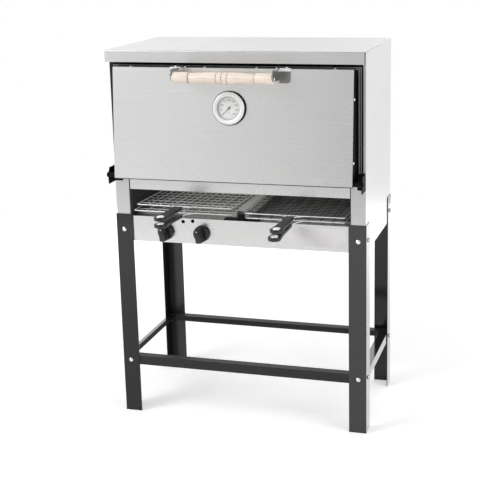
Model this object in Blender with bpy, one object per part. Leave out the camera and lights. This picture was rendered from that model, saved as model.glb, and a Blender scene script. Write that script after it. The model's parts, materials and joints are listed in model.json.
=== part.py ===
"""Free-standing gas pizza oven on an angle-iron stand, with a grill slot under the deck.

Metres, +Z up, front towards -Y. Everything is drawn in the stand's own frame, with the
stand's middle at x = 0, y = 0 and the floor at z = 0. The empty named oven_origin then moves
the whole oven along Y, so that the origin is the bottom centre of the oven's box.
"""
from math import asin, cos, pi, radians, sin

import bmesh
import bpy
from mathutils import Matrix, Vector

# Clearances
touch_gap = 0.0003
hole_clearance = 0.0003
cut_overrun = 0.004
weld_overlap = 0.0004
merge_distance = 0.00001

# Stand of angle iron
stand_width = 0.700
stand_depth = 0.377
leg_height = 0.582
leg_flange = 0.048
leg_steel = 0.002
crossbar_flange = 0.026
crossbar_steel = 0.002
crossbar_height = 0.141
upper_bolt_drop = 0.044
front_bolt_inset = 0.022
side_bolt_inset = 0.0245

# Bolts, nuts and small screws
bolt_shank_radius = 0.003
bolt_head_radius = 0.0064
bolt_head_height = 0.0035
nut_radius = 0.0058
nut_height = 0.005
screw_shank_radius = 0.0017
screw_head_radius = 0.0038
screw_head_height = 0.0024
screw_length = 0.007

# Housing of stainless sheet
sheet = 0.0012
housing_lap = 0.076
oven_space = 0.3405
post_width = 0.039
narrow_return = 0.0067
top_flange = 0.018
panel_height = 0.071
panel_tuck = 0.025
panel_shelf_depth = 0.034
panel_lower_return = 0.018
lintel_height = 0.038
deck_above_legs = 0.108

# Top cover
fascia_height = 0.0312
cover_overhang = 0.0212

# Grill slot
slot_inset = 0.0435
slot_flange = 0.014
slot_front_flange = 0.026
tray_bottom = 0.0539
tray_height = 0.021
tray_side_gap = 0.003
tray_front_gap = 0.003
tray_depth = 0.298
ledge_width = 0.025
ledge_lip = 0.018
ledge_height = 0.0755
rail_half_width = 0.0125
rail_rise = 0.0160
rail_flange = 0.0120
rail_front_setback = 0.026
bracket_left_reach = 0.040
bracket_right_reach = 0.058
bracket_depth = 0.022
bracket_steel = 0.003
bracket_block_left = 0.0005
bracket_block_right = 0.0165
bracket_block_height = 0.017
bracket_block_depth = 0.012

# Baking chamber
chamber_inset = 0.0509
frame_head_height = 0.0643
chamber_depth = 0.3345
jamb_return = 0.015
groove_width = 0.0018
groove_depth = 0.0006
groove_pitch = 0.0065
stone_thickness = 0.015
stone_side_gap = 0.003

# Gas burners under the deck
burner_inner_x = 0.026
burner_wall_gap = 0.0305
burner_depth = 0.190
burner_height = 0.028
burner_rim = 0.010
burner_plate_thickness = 0.012
burner_centre_y = 0.005
burner_inlet_radius = 0.006

# Gas valves, manifold and pipes
valve_drop = 0.0458
valve_left_x = -0.206
valve_right_x = -0.1030
valve_body_radius = 0.011
valve_body_length = 0.024
valve_collar_radius = 0.0075
valve_stem_radius = 0.0038
valve_stem_reach = 0.016
panel_hole_radius = 0.0046
valve_outlet_radius = 0.0058
valve_outlet_length = 0.008
manifold_radius = 0.008
manifold_overreach = 0.030
manifold_bend = 0.030
inlet_inset = 0.088
inlet_nut_radius = 0.0115
inlet_nut_length = 0.012
nipple_radius = 0.0055
nipple_bore_radius = 0.003
nipple_length = 0.020
nipple_bore_depth = 0.014
feed_pipe_radius = 0.004
feed_pipe_bend = 0.014
feed_riser_inset = 0.0230
feed_riser_y = -0.070
feed_run_drop = 0.004
lighting_hole_left_x = -0.156
lighting_hole_right_x = -0.1285
lighting_hole_left_drop = 0.0150
lighting_hole_right_drop = 0.0125

# Knobs
knob_radius = 0.0225
knob_skirt = 0.007
knob_depth = 0.034
knob_bar_half_width = 0.0118
knob_bar_inset = 0.0018
knob_bar_taper_share = 0.84
knob_bore_depth = 0.013
knob_rest_turn = radians(-12)

# Wire baskets
basket_inner_x = 0.0180
basket_wall_gap = 0.0145
basket_left_lower_wall_gap = 0.0050
basket_front_y = -0.180
basket_hinge_y = 0.134
basket_wire = 0.004
grid_wire = 0.0032
basket_leaf_gap = 0.009
basket_cells_across = 8
basket_cells_deep = 9
basket_hinge_pin_radius = 0.0020
basket_hinge_lug = 0.0035
basket_hinge_reach = 0.008
basket_left_tilt = radians(1.1)
basket_left_lid_tilt = radians(0.8)
tang_width = 0.010
tang_thickness = 0.003
tang_reach = 0.045

# Grill grips
grip_left_x = -0.160
grip_right_upper_x = 0.1500
grip_right_lower_x = 0.1445
grip_width = 0.034
grip_body_share = 0.70
grip_neck_share = 2.6
grip_disc_sweep = 0.5
grip_length = 0.150
grip_thickness = 0.010
grip_start = 0.026
grip_edge = 0.0026
grip_hole_width = 0.017
grip_hole_length = 0.026
grip_hole_from_end = 0.019
grip_drop = 0.0075
grip_left_lower_lift = 0.0032
grip_left_lower_rise = 0.0057

# Door
door_inset = 0.026
door_bottom_gap = 0.003
door_top_drop = 0.0410
door_lean = radians(4.56)
door_front_bottom_y = -0.244
door_back_y = -0.1875
door_flange = 0.012
door_nut_clearance = 0.006
door_screw_setback = 0.0085
door_screw_inner_x = 0.070
door_screw_middle_x = 0.123
door_screw_bracket_x = 0.150
door_screw_outer_inset = 0.049
door_side_screw_low_share = 0.21
door_side_screw_high_share = 0.75
wool_side_gap = 0.016

# Door hinge
hinge_y = -0.230
hinge_above_deck = 0.010
ear_steel = 0.003
ear_above_deck = 0.029
ear_below_deck = 0.015
ear_top_reach = 0.037
ear_front_reach = 0.0470
ear_bottom_reach = 0.0455
ear_flange_gap = 0.0015
spacer_radius = 0.0065
hinge_head_radius = 0.0070

# Door handle
handle_half_length = 0.1325
handle_standoff = 0.058
handle_below_top = 0.0232
handle_radius = 0.0156
handle_waist_radius = 0.0125
handle_end_radius = 0.0146
handle_bead_radius = 0.0154
handle_groove_radius = 0.0126
handle_bead_width = 0.0105
handle_bead_shift = 0.004
handle_left_end_width = 0.042
handle_right_end_width = 0.046
handle_shoulder = 0.003
handle_bracket_sheet = 0.0015
handle_ear_sheet = 0.002
handle_plate_width = 0.029
handle_plate_height = 0.036
handle_plate_corner = 0.007
handle_tab_depth = 0.016
handle_ear_height = 0.029
handle_ear_reach = 0.074
handle_screw_radius = 0.002
handle_screw_head_radius = 0.0045
handle_screw_head_height = 0.0025
handle_screw_length = 0.024

# Thermometer
dial_rise_share = 0.6573
bezel_radius = 0.0435
bezel_depth = 0.012
bezel_back_depth = 0.008
bezel_chamfer = 0.0025
window_radius = 0.0335
dial_recess = 0.0085
dial_thickness = 0.001
dial_clearance = 0.0003
glass_thickness = 0.0015
glass_setback = 0.0015
needle_length = 0.026
needle_tail = 0.008
needle_half_width = 0.0012
needle_thickness = 0.0006
needle_hub_radius = 0.0035
needle_rest_angle = radians(225)
probe_radius = 0.0045
probe_length = 0.065

# Sides of round shapes
round_profile_share = 0.5
coarse_sides = 10
round_sides = 20
fine_sides = 32
pipe_sides = 8
screw_sides = 8
pipe_bend_steps = 3

# Places worked out from the sizes above
leg_x = stand_width / 2
leg_y = stand_depth / 2
upper_bolt_height = leg_height - upper_bolt_drop
housing_bottom = leg_height - housing_lap
deck_height = leg_height + deck_above_legs
housing_top = deck_height + oven_space
post_top = deck_height
valve_height = leg_height - valve_drop
lighting_hole_left_z = leg_height - lighting_hole_left_drop
lighting_hole_right_z = leg_height - lighting_hole_right_drop
slot_half_width = leg_x - slot_inset
chamber_half_width = leg_x - chamber_inset
door_half_width = leg_x - door_inset
inlet_x = leg_x - inlet_inset
feed_riser_x = leg_x - feed_riser_inset
basket_outer_x = slot_half_width - basket_wall_gap
basket_left_lower_outer_x = slot_half_width - basket_left_lower_wall_gap
burner_outer_x = slot_half_width - burner_wall_gap
burner_width = burner_outer_x - burner_inner_x
burner_centre_x = (burner_outer_x + burner_inner_x) / 2
housing_x = leg_x - leg_steel - touch_gap
housing_y = leg_y - leg_steel - touch_gap
side_inner_x = housing_x - sheet
crossbar_top = crossbar_height + crossbar_flange
lower_bolt_height = crossbar_height + crossbar_flange / 2
panel_top = housing_bottom + panel_height
panel_front_y = -housing_y + sheet + touch_gap
panel_back_y = panel_front_y + sheet
panel_half_width = housing_x - post_width + panel_tuck
slot_wall_front_y = panel_back_y + touch_gap
back_inner_y = housing_y - sheet
slot_outer_x = slot_half_width + sheet
slot_bottom = housing_bottom + tray_bottom - sheet - touch_gap - weld_overlap
tray_floor = housing_bottom + tray_bottom
ledge_top = housing_bottom + ledge_height + sheet
basket_bottom = ledge_top + 2 * touch_gap
lid_bottom = basket_bottom + basket_wire + basket_leaf_gap
basket_hinge_z = lid_bottom
cover_bottom = housing_top + touch_gap
oven_top = cover_bottom + sheet
fascia_bottom = oven_top - fascia_height
cover_front_y = -leg_y - cover_overhang
jamb_bottom = deck_height + touch_gap
chamber_x = chamber_half_width + sheet
chamber_front_y = -housing_y + sheet
chamber_back_y = chamber_front_y + chamber_depth
jamb_inner_x = chamber_x + touch_gap
jamb_outer_x = housing_x - narrow_return - touch_gap
jamb_back_y = -housing_y + jamb_return
flange_bottom = housing_top - sheet
chamber_top = flange_bottom - frame_head_height
face_cos = cos(door_lean)
face_sin = sin(door_lean)
door_bottom = deck_height + door_bottom_gap
door_slope_height = (housing_top - door_top_drop - door_bottom) / face_cos
door_screw_outer_x = door_half_width - door_screw_outer_inset
door_side_screw_low = door_slope_height * door_side_screw_low_share
door_side_screw_high = door_slope_height * door_side_screw_high_share
dial_rise = door_slope_height * dial_rise_share
handle_rise = door_slope_height - handle_below_top
hinge_z = deck_height + hinge_above_deck
ear_top_z = deck_height + ear_above_deck
ear_bottom_z = deck_height - ear_below_deck
door_depth_bottom = (door_back_y - door_front_bottom_y) / face_cos
door_bottom_rise = door_depth_bottom * face_sin / face_cos
door_depth_top = (door_back_y - door_front_bottom_y - door_slope_height * face_sin) / face_cos
knob_back_y = panel_front_y - valve_stem_reach + knob_bore_depth
knob_front_y = knob_back_y - knob_depth
manifold_y = panel_back_y + touch_gap + valve_body_length + manifold_radius + touch_gap
inlet_end_y = housing_y + touch_gap + inlet_nut_length + nipple_length
basket_grip_end_y = basket_front_y - grip_start - grip_length
origin_shift = -(basket_grip_end_y + inlet_end_y) / 2

# Finishes
finishes = {
    "stainless": ((0.72, 0.72, 0.71), 0.30, 1.0),
    "black_paint": ((0.030, 0.030, 0.032), 0.35, 0.0),
    "zinc": ((0.62, 0.62, 0.60), 0.40, 1.0),
    "black_enamel": ((0.018, 0.018, 0.019), 0.45, 0.0),
    "aluminised": ((0.52, 0.52, 0.51), 0.50, 1.0),
    "ceramic_wool": ((0.86, 0.84, 0.78), 0.95, 0.0),
    "fire_clay": ((0.70, 0.60, 0.48), 0.90, 0.0),
    "brass": ((0.72, 0.55, 0.26), 0.35, 1.0),
    "black_plastic": ((0.022, 0.022, 0.024), 0.42, 0.0),
    "pine": ((0.92, 0.74, 0.52), 0.50, 0.0),
    "dial_white": ((0.86, 0.87, 0.86), 0.50, 0.0),
    "needle_black": ((0.02, 0.02, 0.02), 0.50, 0.0),
    "clear_glass": ((0.95, 0.97, 0.97), 0.05, 0.0),
}


def finish(name):
    """Return the named finish, made once as a Principled material."""
    if name in bpy.data.materials:
        return bpy.data.materials[name]
    colour, roughness, metallic = finishes[name]
    material = bpy.data.materials.new(name)
    material.use_nodes = True
    shader = material.node_tree.nodes["Principled BSDF"]
    shader.inputs["Base Color"].default_value = (*colour, 1.0)
    shader.inputs["Roughness"].default_value = roughness
    shader.inputs["Metallic"].default_value = metallic
    material.diffuse_color = (*colour, 1.0)
    return material


# Solids, each a closed bmesh in the stand's frame or in the frame it is given
def prism(outline, start, end, to_place):
    """Extrude a flat outline; to_place(a, b, t) puts outline point (a, b) at depth t."""
    solid = bmesh.new()
    face = solid.faces.new([solid.verts.new(to_place(a, b, start)) for a, b in outline])
    grown = bmesh.ops.extrude_face_region(solid, geom=[face])
    step = Vector(to_place(0, 0, end)) - Vector(to_place(0, 0, start))
    moved = [item for item in grown["geom"] if isinstance(item, bmesh.types.BMVert)]
    bmesh.ops.translate(solid, verts=moved, vec=step)
    return solid


def along_x(outline, start, end):
    """Extrude a (y, z) outline along X."""
    return prism(outline, start, end, lambda a, b, t: (t, a, b))


def along_y(outline, start, end):
    """Extrude an (x, z) outline along Y."""
    return prism(outline, start, end, lambda a, b, t: (a, t, b))


def along_z(outline, start, end):
    """Extrude an (x, y) outline along Z."""
    return prism(outline, start, end, lambda a, b, t: (a, b, t))


def block(low, high):
    """Return a box between two corners, given in any order."""
    xs, ys, zs = (sorted(pair) for pair in zip(low, high))
    return along_z([(xs[0], ys[0]), (xs[1], ys[0]), (xs[1], ys[1]), (xs[0], ys[1])], *zs)


def turned(profile, centre, direction, sides):
    """Spin (radius, distance) points, ending on the axis, about the line along direction."""
    solid = bmesh.new()
    verts = [solid.verts.new((radius, 0, height)) for radius, height in profile]
    edges = [solid.edges.new(pair) for pair in zip(verts, verts[1:])]
    bmesh.ops.spin(solid, geom=verts + edges, cent=(0, 0, 0), axis=(0, 0, 1), angle=2 * pi,
                   steps=sides, use_merge=True)
    bmesh.ops.remove_doubles(solid, verts=solid.verts, dist=merge_distance)
    bmesh.ops.dissolve_degenerate(solid, edges=solid.edges, dist=merge_distance)
    turn = Vector((0, 0, 1)).rotation_difference(Vector(direction)).to_matrix().to_4x4()
    solid.transform(Matrix.Translation(centre) @ turn)
    return solid


def rod(centre, direction, radius, start, end, sides=coarse_sides):
    """Return a plain cylinder between two distances along its axis."""
    return turned([(0, start), (radius, start), (radius, end), (0, end)], centre, direction,
                  sides)


def linked_object(name, solid):
    """Turn a bmesh into an object in the scene, with its faces pointing out."""
    bmesh.ops.recalc_face_normals(solid, faces=solid.faces)
    if solid.calc_volume(signed=True) < 0:
        bmesh.ops.reverse_faces(solid, faces=solid.faces)
    mesh = bpy.data.meshes.new(name)
    solid.to_mesh(mesh)
    solid.free()
    thing = bpy.data.objects.new(name, mesh)
    bpy.context.scene.collection.objects.link(thing)
    return thing


def welded(name, first, joined=(), cut=(), solver="EXACT"):
    """Make an object from one solid, joined to some others and cut by some others."""
    thing = linked_object(name, first)
    helpers = []
    for operation, solids in (("UNION", joined), ("DIFFERENCE", cut)):
        for solid in solids:
            helper = linked_object(name + "_helper", solid)
            step = thing.modifiers.new("step", "BOOLEAN")
            step.operation = operation
            step.solver = solver
            step.object = helper
            helpers.append(helper)
    bpy.context.view_layer.update()
    graph = bpy.context.evaluated_depsgraph_get()
    result = bpy.data.meshes.new_from_object(thing.evaluated_get(graph))
    tidy = bmesh.new()
    tidy.from_mesh(result)
    bmesh.ops.remove_doubles(tidy, verts=tidy.verts, dist=merge_distance)
    bmesh.ops.dissolve_degenerate(tidy, edges=tidy.edges, dist=merge_distance)
    tidy.to_mesh(result)
    tidy.free()
    thing.modifiers.clear()
    thing.data = result
    result.name = name
    for helper in helpers:
        bpy.data.objects.remove(helper)
    return thing


# Pivots: an empty on each joint's axis, and the pieces that hang on it
pivots = {}


def pivot(name, place, parent=None, turn=(0, 0, 0), local=False):
    """Make an empty at a place in the stand's frame; local ones hold pieces drawn in them."""
    empty = bpy.data.objects.new(name, None)
    bpy.context.scene.collection.objects.link(empty)
    start = Vector((0, 0, 0))
    if parent:
        empty.parent = pivots[parent][0]
        start = pivots[parent][2]
    empty.location = Vector(place) - start
    empty.rotation_euler = turn
    pivots[name] = (empty, Vector((0, 0, 0)) if local else Vector(place), Vector(place))


def settle(thing, finish_name, on="oven_origin", smooth=False):
    """Give an object its finish and hang it on a pivot."""
    empty, offset, _ = pivots[on]
    thing.data.transform(Matrix.Translation(-offset))
    thing.data.materials.clear()
    thing.data.materials.append(finish(finish_name))
    if smooth:
        thing.data.shade_smooth()
        thing.data.set_sharp_from_angle(angle=radians(35))
    thing.parent = empty
    return thing


def angle_outline(flange, steel, sign_x, sign_y, corner_x, corner_y):
    """Return an L section whose outer corner is at (corner_x, corner_y)."""
    inward_x = -sign_x
    inward_y = -sign_y
    return [(corner_x, corner_y),
            (corner_x + inward_x * flange, corner_y),
            (corner_x + inward_x * flange, corner_y + inward_y * steel),
            (corner_x + inward_x * steel, corner_y + inward_y * steel),
            (corner_x + inward_x * steel, corner_y + inward_y * flange),
            (corner_x, corner_y + inward_y * flange)]


side_names = {-1: "left", 1: "right"}
end_names = {-1: "front", 1: "back"}


# Stand
def front_bolt(side, end, height):
    """Axis of a bolt through a leg's front or back flange: outer point and inward way."""
    return (side * (leg_x - front_bolt_inset), end * leg_y, height), (0, -end, 0)


def side_bolt(side, end, height):
    """Axis of a bolt through a leg's side flange: outer point and inward way."""
    return (side * leg_x, end * (leg_y - side_bolt_inset), height), (-side, 0, 0)


stand_bolt_axes = [axis(side, end, height)
                   for axis in (front_bolt, side_bolt)
                   for side in (-1, 1)
                   for end in (-1, 1)
                   for height in (lower_bolt_height, upper_bolt_height)]
bolt_hole_radius = bolt_shank_radius + hole_clearance


def bolt_holes(axes):
    """Cutters for the given bolt axes, through a leg or a panel behind it."""
    return [rod(place, way, bolt_hole_radius, -cut_overrun, leg_steel + cut_overrun)
            for place, way in axes]


def tightened_bolts(axes, nut_start):
    """Round-head bolts, each screwed tight into its welded nut and one solid with it."""
    bolts = []
    for place, way in axes:
        profile = [(0, -bolt_head_height - touch_gap),
                   (bolt_head_radius / 2, -bolt_head_height - touch_gap),
                   (bolt_head_radius, -bolt_head_height / 2),
                   (bolt_head_radius, -touch_gap),
                   (bolt_shank_radius, -touch_gap),
                   (bolt_shank_radius, nut_start),
                   (nut_radius, nut_start),
                   (nut_radius, nut_start + nut_height),
                   (0, nut_start + nut_height)]
        bolts.append(turned(profile, place, way, coarse_sides))
    return bolts


def make_stand():
    """Four angle legs and four angle crossbars."""
    for side in (-1, 1):
        for end in (-1, 1):
            outline = angle_outline(leg_flange, leg_steel, side, end, side * leg_x, end * leg_y)
            near = [axis for axis in stand_bolt_axes
                    if axis[0][0] * side > 0 and axis[0][1] * end > 0]
            leg = welded("leg_%s_%s" % (end_names[end], side_names[side]),
                         along_z(outline, 0, leg_height), cut=bolt_holes(near))
            settle(leg, "black_paint")
    bar_x = housing_x
    bar_y = housing_y
    nut_start = leg_steel + touch_gap + crossbar_steel - weld_overlap
    for end in (-1, 1):
        outer = end * bar_y
        shelf_reach = bar_x - crossbar_steel - touch_gap
        upright = block((-bar_x, outer, crossbar_height),
                        (bar_x, outer - end * crossbar_steel, crossbar_top))
        shelf = block((-shelf_reach, outer, crossbar_top - crossbar_steel),
                      (shelf_reach, outer - end * crossbar_flange, crossbar_top))
        near = [front_bolt(side, end, lower_bolt_height) for side in (-1, 1)]
        bar = welded("crossbar_%s" % end_names[end], upright,
                     joined=[shelf] + tightened_bolts(near, nut_start))
        settle(bar, "black_paint")
    for side in (-1, 1):
        outer = side * bar_x
        reach = bar_y - crossbar_steel - touch_gap
        shelf_reach = bar_y - crossbar_flange - touch_gap
        upright = block((outer, -reach, crossbar_height),
                        (outer - side * crossbar_steel, reach, crossbar_top))
        shelf = block((outer, -shelf_reach, crossbar_top - crossbar_steel),
                      (outer - side * crossbar_flange, shelf_reach, crossbar_top))
        near = [side_bolt(side, end, lower_bolt_height) for end in (-1, 1)]
        bar = welded("crossbar_%s" % side_names[side], upright,
                     joined=[shelf] + tightened_bolts(near, nut_start))
        settle(bar, "black_paint")


# Housing
def make_side_panels():
    """Stainless sides, folded round the front as posts and in at the top as a flange."""
    for side in (-1, 1):
        outer = side * housing_x
        wall = block((outer, -housing_y, housing_bottom),
                     (side * side_inner_x, back_inner_y - touch_gap, housing_top))
        post = block((outer, -housing_y, housing_bottom),
                     (outer - side * post_width, -housing_y + sheet, post_top))
        narrow = block((outer, -housing_y, post_top - weld_overlap),
                       (outer - side * narrow_return, -housing_y + sheet, housing_top))
        flange = block((outer, -housing_y, flange_bottom),
                       (outer - side * top_flange, back_inner_y - touch_gap, housing_top))
        side_axes = [side_bolt(side, end, upper_bolt_height) for end in (-1, 1)]
        front_axes = [front_bolt(side, -1, upper_bolt_height)]
        nut_start = leg_steel + touch_gap + sheet
        bolts = tightened_bolts(side_axes, nut_start - weld_overlap)
        bolts += tightened_bolts(front_axes, nut_start + touch_gap + sheet + touch_gap)
        panel = welded("side_panel_" + side_names[side], wall,
                       joined=[post, narrow, flange] + bolts, solver="MANIFOLD")
        settle(panel, "stainless")


def make_back_panel():
    """Flat stainless back with the gas inlet's hole."""
    hole_radius = manifold_radius + hole_clearance
    hole = rod((inlet_x, back_inner_y, valve_height), (0, 1, 0), hole_radius, -cut_overrun,
               cut_overrun, round_sides)
    near = [front_bolt(side, 1, upper_bolt_height) for side in (-1, 1)]
    nut_start = leg_steel + touch_gap + sheet - weld_overlap
    panel = welded("back_panel",
                   block((-housing_x, back_inner_y, housing_bottom),
                         (housing_x, housing_y, housing_top)),
                   joined=tightened_bolts(near, nut_start), cut=[hole])
    settle(panel, "stainless")


def make_top_cover():
    """Flat stainless top with a deep lip in front."""
    sheet_top = block((-leg_x, cover_front_y, cover_bottom), (leg_x, leg_y, oven_top))
    lip = block((-leg_x, cover_front_y, fascia_bottom), (leg_x, cover_front_y + sheet, oven_top))
    settle(welded("top_cover", sheet_top, joined=[lip]), "stainless")


def make_control_panel():
    """Stainless front under the slot, with a shelf on top and holes for valves and lighting."""
    inner_reach = slot_half_width - touch_gap
    front = block((-panel_half_width, panel_front_y, housing_bottom),
                  (panel_half_width, panel_back_y, panel_top))
    shelf = block((-inner_reach, panel_front_y, panel_top - sheet),
                  (inner_reach, panel_front_y + panel_shelf_depth, panel_top))
    lower = block((-inner_reach, panel_front_y, housing_bottom),
                  (inner_reach, panel_front_y + panel_lower_return, housing_bottom + sheet))
    holes = [rod((x, panel_front_y, z), (0, 1, 0), panel_hole_radius, -cut_overrun, cut_overrun,
                 round_sides)
             for x, z in ((valve_left_x, valve_height), (valve_right_x, valve_height),
                          (lighting_hole_left_x, lighting_hole_left_z),
                          (lighting_hole_right_x, lighting_hole_right_z))]
    near = [front_bolt(side, -1, upper_bolt_height) for side in (-1, 1)]
    panel = welded("control_panel", front, joined=[shelf, lower], cut=holes + bolt_holes(near),
                   solver="MANIFOLD")
    settle(panel, "stainless")


# Grill slot
def make_slot():
    """Inner side walls, basket ledges, centre rail with its bracket, and the drip tray."""
    wall_top = deck_height - sheet - touch_gap
    feed_hole_z = wall_top - sheet - touch_gap - burner_height / 2
    for side in (-1, 1):
        inner = side * slot_half_width
        outer = side * slot_outer_x
        back = back_inner_y - touch_gap
        wall = block((inner, slot_wall_front_y, slot_bottom), (outer, back, wall_top))
        upper = block((inner - side * slot_flange, slot_wall_front_y, wall_top - sheet),
                      (outer, back, wall_top))
        lower = block((inner - side * slot_flange, slot_wall_front_y, slot_bottom),
                      (outer, back, slot_bottom + sheet))
        front = block((inner, slot_wall_front_y, panel_top),
                      (inner + side * slot_front_flange, slot_wall_front_y + sheet, wall_top))
        hole = rod((inner, feed_riser_y, feed_hole_z), (side, 0, 0),
                   feed_pipe_radius + hole_clearance, -cut_overrun, cut_overrun)
        slot_wall = welded("slot_wall_" + side_names[side], wall, joined=[upper, lower, front],
                           cut=[hole])
        settle(slot_wall, "aluminised")
        lip_x = inner - side * touch_gap
        front_y = panel_front_y + panel_shelf_depth + touch_gap
        ledge = angle_outline(ledge_width, sheet, side, -1, lip_x, ledge_top - sheet)
        lip = [(x, ledge_top - sheet + (z - ledge_top + sheet) * ledge_lip / ledge_width)
               if z - ledge_top + sheet > sheet * 2 else (x, z) for x, z in ledge]
        basket_ledge = linked_object("basket_ledge_" + side_names[side],
                                     along_y(lip, front_y, back))
        settle(basket_ledge, "aluminised")

    rail_front = panel_front_y + rail_front_setback
    rail_base = ledge_top - sheet
    crown = ledge_top + rail_rise
    outline = [(-rail_half_width - rail_flange, rail_base),
               (-rail_half_width - rail_flange, ledge_top),
               (-rail_half_width, ledge_top),
               (-rail_half_width, crown),
               (rail_half_width, crown),
               (rail_half_width, ledge_top),
               (rail_half_width + rail_flange, ledge_top),
               (rail_half_width + rail_flange, rail_base),
               (rail_half_width - sheet, rail_base),
               (rail_half_width - sheet, crown - sheet),
               (-rail_half_width + sheet, crown - sheet),
               (-rail_half_width + sheet, rail_base)]
    rail = linked_object("centre_rail", along_y(outline, rail_front, back_inner_y - touch_gap))
    settle(rail, "stainless")

    base = panel_top + touch_gap
    foot = block((-bracket_left_reach, panel_front_y, base),
                 (bracket_right_reach, panel_front_y + bracket_depth, base + bracket_steel))
    stop = block((bracket_block_left, panel_front_y, base),
                 (bracket_block_right, panel_front_y + bracket_block_depth,
                  base + bracket_block_height))
    settle(welded("centre_rail_bracket", foot, joined=[stop]), "black_paint")

    tray_x = slot_half_width - tray_side_gap
    tray_front = panel_front_y + panel_shelf_depth + tray_front_gap
    tray_back = tray_front + tray_depth
    pan = block((-tray_x, tray_front, tray_floor), (tray_x, tray_back, tray_floor + tray_height))
    hollow = block((-tray_x + sheet, tray_front + sheet, tray_floor + sheet),
                   (tray_x - sheet, tray_back - sheet, tray_floor + tray_height + cut_overrun))
    settle(welded("drip_tray", pan, cut=[hollow]), "stainless")


# Baking chamber
def make_deck():
    """Stainless deck that carries the stone, folded down in front as the slot's lintel."""
    plate = block((-side_inner_x + touch_gap, panel_back_y, deck_height - sheet),
                  (side_inner_x - touch_gap, back_inner_y - touch_gap, deck_height))
    fold = block((-panel_half_width, panel_front_y, deck_height - lintel_height),
                 (panel_half_width, panel_back_y, deck_height))
    link = block((-panel_half_width, panel_front_y, deck_height - sheet),
                 (panel_half_width, panel_back_y + sheet, deck_height))
    settle(welded("oven_deck", plate, joined=[fold, link]), "stainless")
    stone_x = chamber_half_width - stone_side_gap
    stone = block((-stone_x, chamber_front_y + stone_side_gap, jamb_bottom),
                  (stone_x, chamber_back_y - stone_side_gap, jamb_bottom + stone_thickness))
    settle(linked_object("hearth_stone", stone), "fire_clay")


def frame_profile(low, high):
    """Front strip with two grooves and a return on each edge: (across, depth) points."""
    middle = (low + high) / 2
    points = [(low, jamb_return), (low, 0)]
    for place in (middle - groove_pitch / 2, middle + groove_pitch / 2):
        points += [(place - groove_width / 2, 0), (place, groove_depth),
                   (place + groove_width / 2, 0)]
    points += [(high, 0), (high, jamb_return), (high - sheet, jamb_return), (high - sheet, sheet),
               (low + sheet, sheet), (low + sheet, jamb_return)]
    return points


def make_door_frame():
    """Black door frame: two grooved uprights welded to a grooved head."""
    uprights = []
    for side in (-1, 1):
        outline = [(side * across, -housing_y + depth)
                   for across, depth in frame_profile(jamb_inner_x, jamb_outer_x)]
        uprights.append(along_z(outline, jamb_bottom, chamber_top + touch_gap + weld_overlap))
    outline = [(-housing_y + depth, across)
               for across, depth in frame_profile(chamber_top + touch_gap,
                                                  flange_bottom - touch_gap)]
    head = along_x(outline, -jamb_outer_x, jamb_outer_x)
    settle(welded("door_frame", head, joined=uprights), "black_enamel")


def make_chamber():
    """Welded liner of the chamber and the ceramic wool packed round it."""
    shell = block((-chamber_x, chamber_front_y, jamb_bottom),
                  (chamber_x, chamber_back_y + sheet, chamber_top))
    hollow = block((-chamber_half_width, chamber_front_y - cut_overrun,
                    jamb_bottom - cut_overrun),
                   (chamber_half_width, chamber_back_y, chamber_top - sheet))
    settle(welded("chamber_liner", shell, cut=[hollow]), "aluminised")
    wool_x = side_inner_x - touch_gap
    wool = block((-wool_x, jamb_back_y + touch_gap, jamb_bottom),
                 (wool_x, back_inner_y - touch_gap, flange_bottom - touch_gap))
    room = block((-chamber_x - touch_gap, -housing_y - cut_overrun, jamb_bottom - cut_overrun),
                 (chamber_x + touch_gap, chamber_back_y + sheet + touch_gap,
                  chamber_top + touch_gap))
    settle(welded("insulation_wool", wool, cut=[room]), "ceramic_wool")


# Burners and gas
def make_burners():
    """Infrared burners hung under the deck, each a pressed case round a ceramic plate."""
    top = deck_height - sheet - touch_gap
    for side in (-1, 1):
        x = side * burner_centre_x
        low = top - burner_height
        case = block((x - burner_width / 2, burner_centre_y - burner_depth / 2, low),
                     (x + burner_width / 2, burner_centre_y + burner_depth / 2, top))
        window = block((x - burner_width / 2 + burner_rim,
                        burner_centre_y - burner_depth / 2 + burner_rim, low - cut_overrun),
                       (x + burner_width / 2 - burner_rim,
                        burner_centre_y + burner_depth / 2 - burner_rim,
                        low + burner_plate_thickness + touch_gap))
        inlet_z = deck_height - sheet - touch_gap - sheet - touch_gap - burner_height / 2
        inlet_start = side * (burner_centre_x + burner_width / 2)
        elbow = rod((inlet_start, feed_riser_y, inlet_z), (side, 0, 0), burner_inlet_radius,
                    -weld_overlap, slot_half_width - abs(inlet_start) - touch_gap * 2)
        bore_start = slot_half_width - abs(inlet_start) - touch_gap * 2 - feed_pipe_radius * 2
        bore = rod((inlet_start, feed_riser_y, inlet_z), (side, 0, 0),
                   feed_pipe_radius + hole_clearance, bore_start,
                   slot_half_width - abs(inlet_start) + cut_overrun)
        burner = welded("burner_" + side_names[side], case, joined=[elbow], cut=[window, bore])
        settle(burner, "aluminised")
        inset = burner_rim + touch_gap
        plate = block((x - burner_width / 2 + inset,
                       burner_centre_y - burner_depth / 2 + inset, low),
                      (x + burner_width / 2 - inset,
                       burner_centre_y + burner_depth / 2 - inset,
                       low + burner_plate_thickness))
        settle(linked_object("burner_plate_" + side_names[side], plate), "fire_clay")


def rounded_route(points, bend, steps=pipe_bend_steps):
    """Return a route with each corner turned into an arc of the given radius."""
    route = [Vector(points[0])]
    for before, corner, after in zip(points, points[1:], points[2:]):
        corner = Vector(corner)
        way_in = (corner - Vector(before)).normalized()
        way_out = (Vector(after) - corner).normalized()
        start = corner - way_in * bend
        for step in range(steps + 1):
            angle = step / steps * pi / 2
            route.append(start + way_in * bend * sin(angle) + way_out * bend * (1 - cos(angle)))
    route.append(Vector(points[-1]))
    return route


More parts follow.
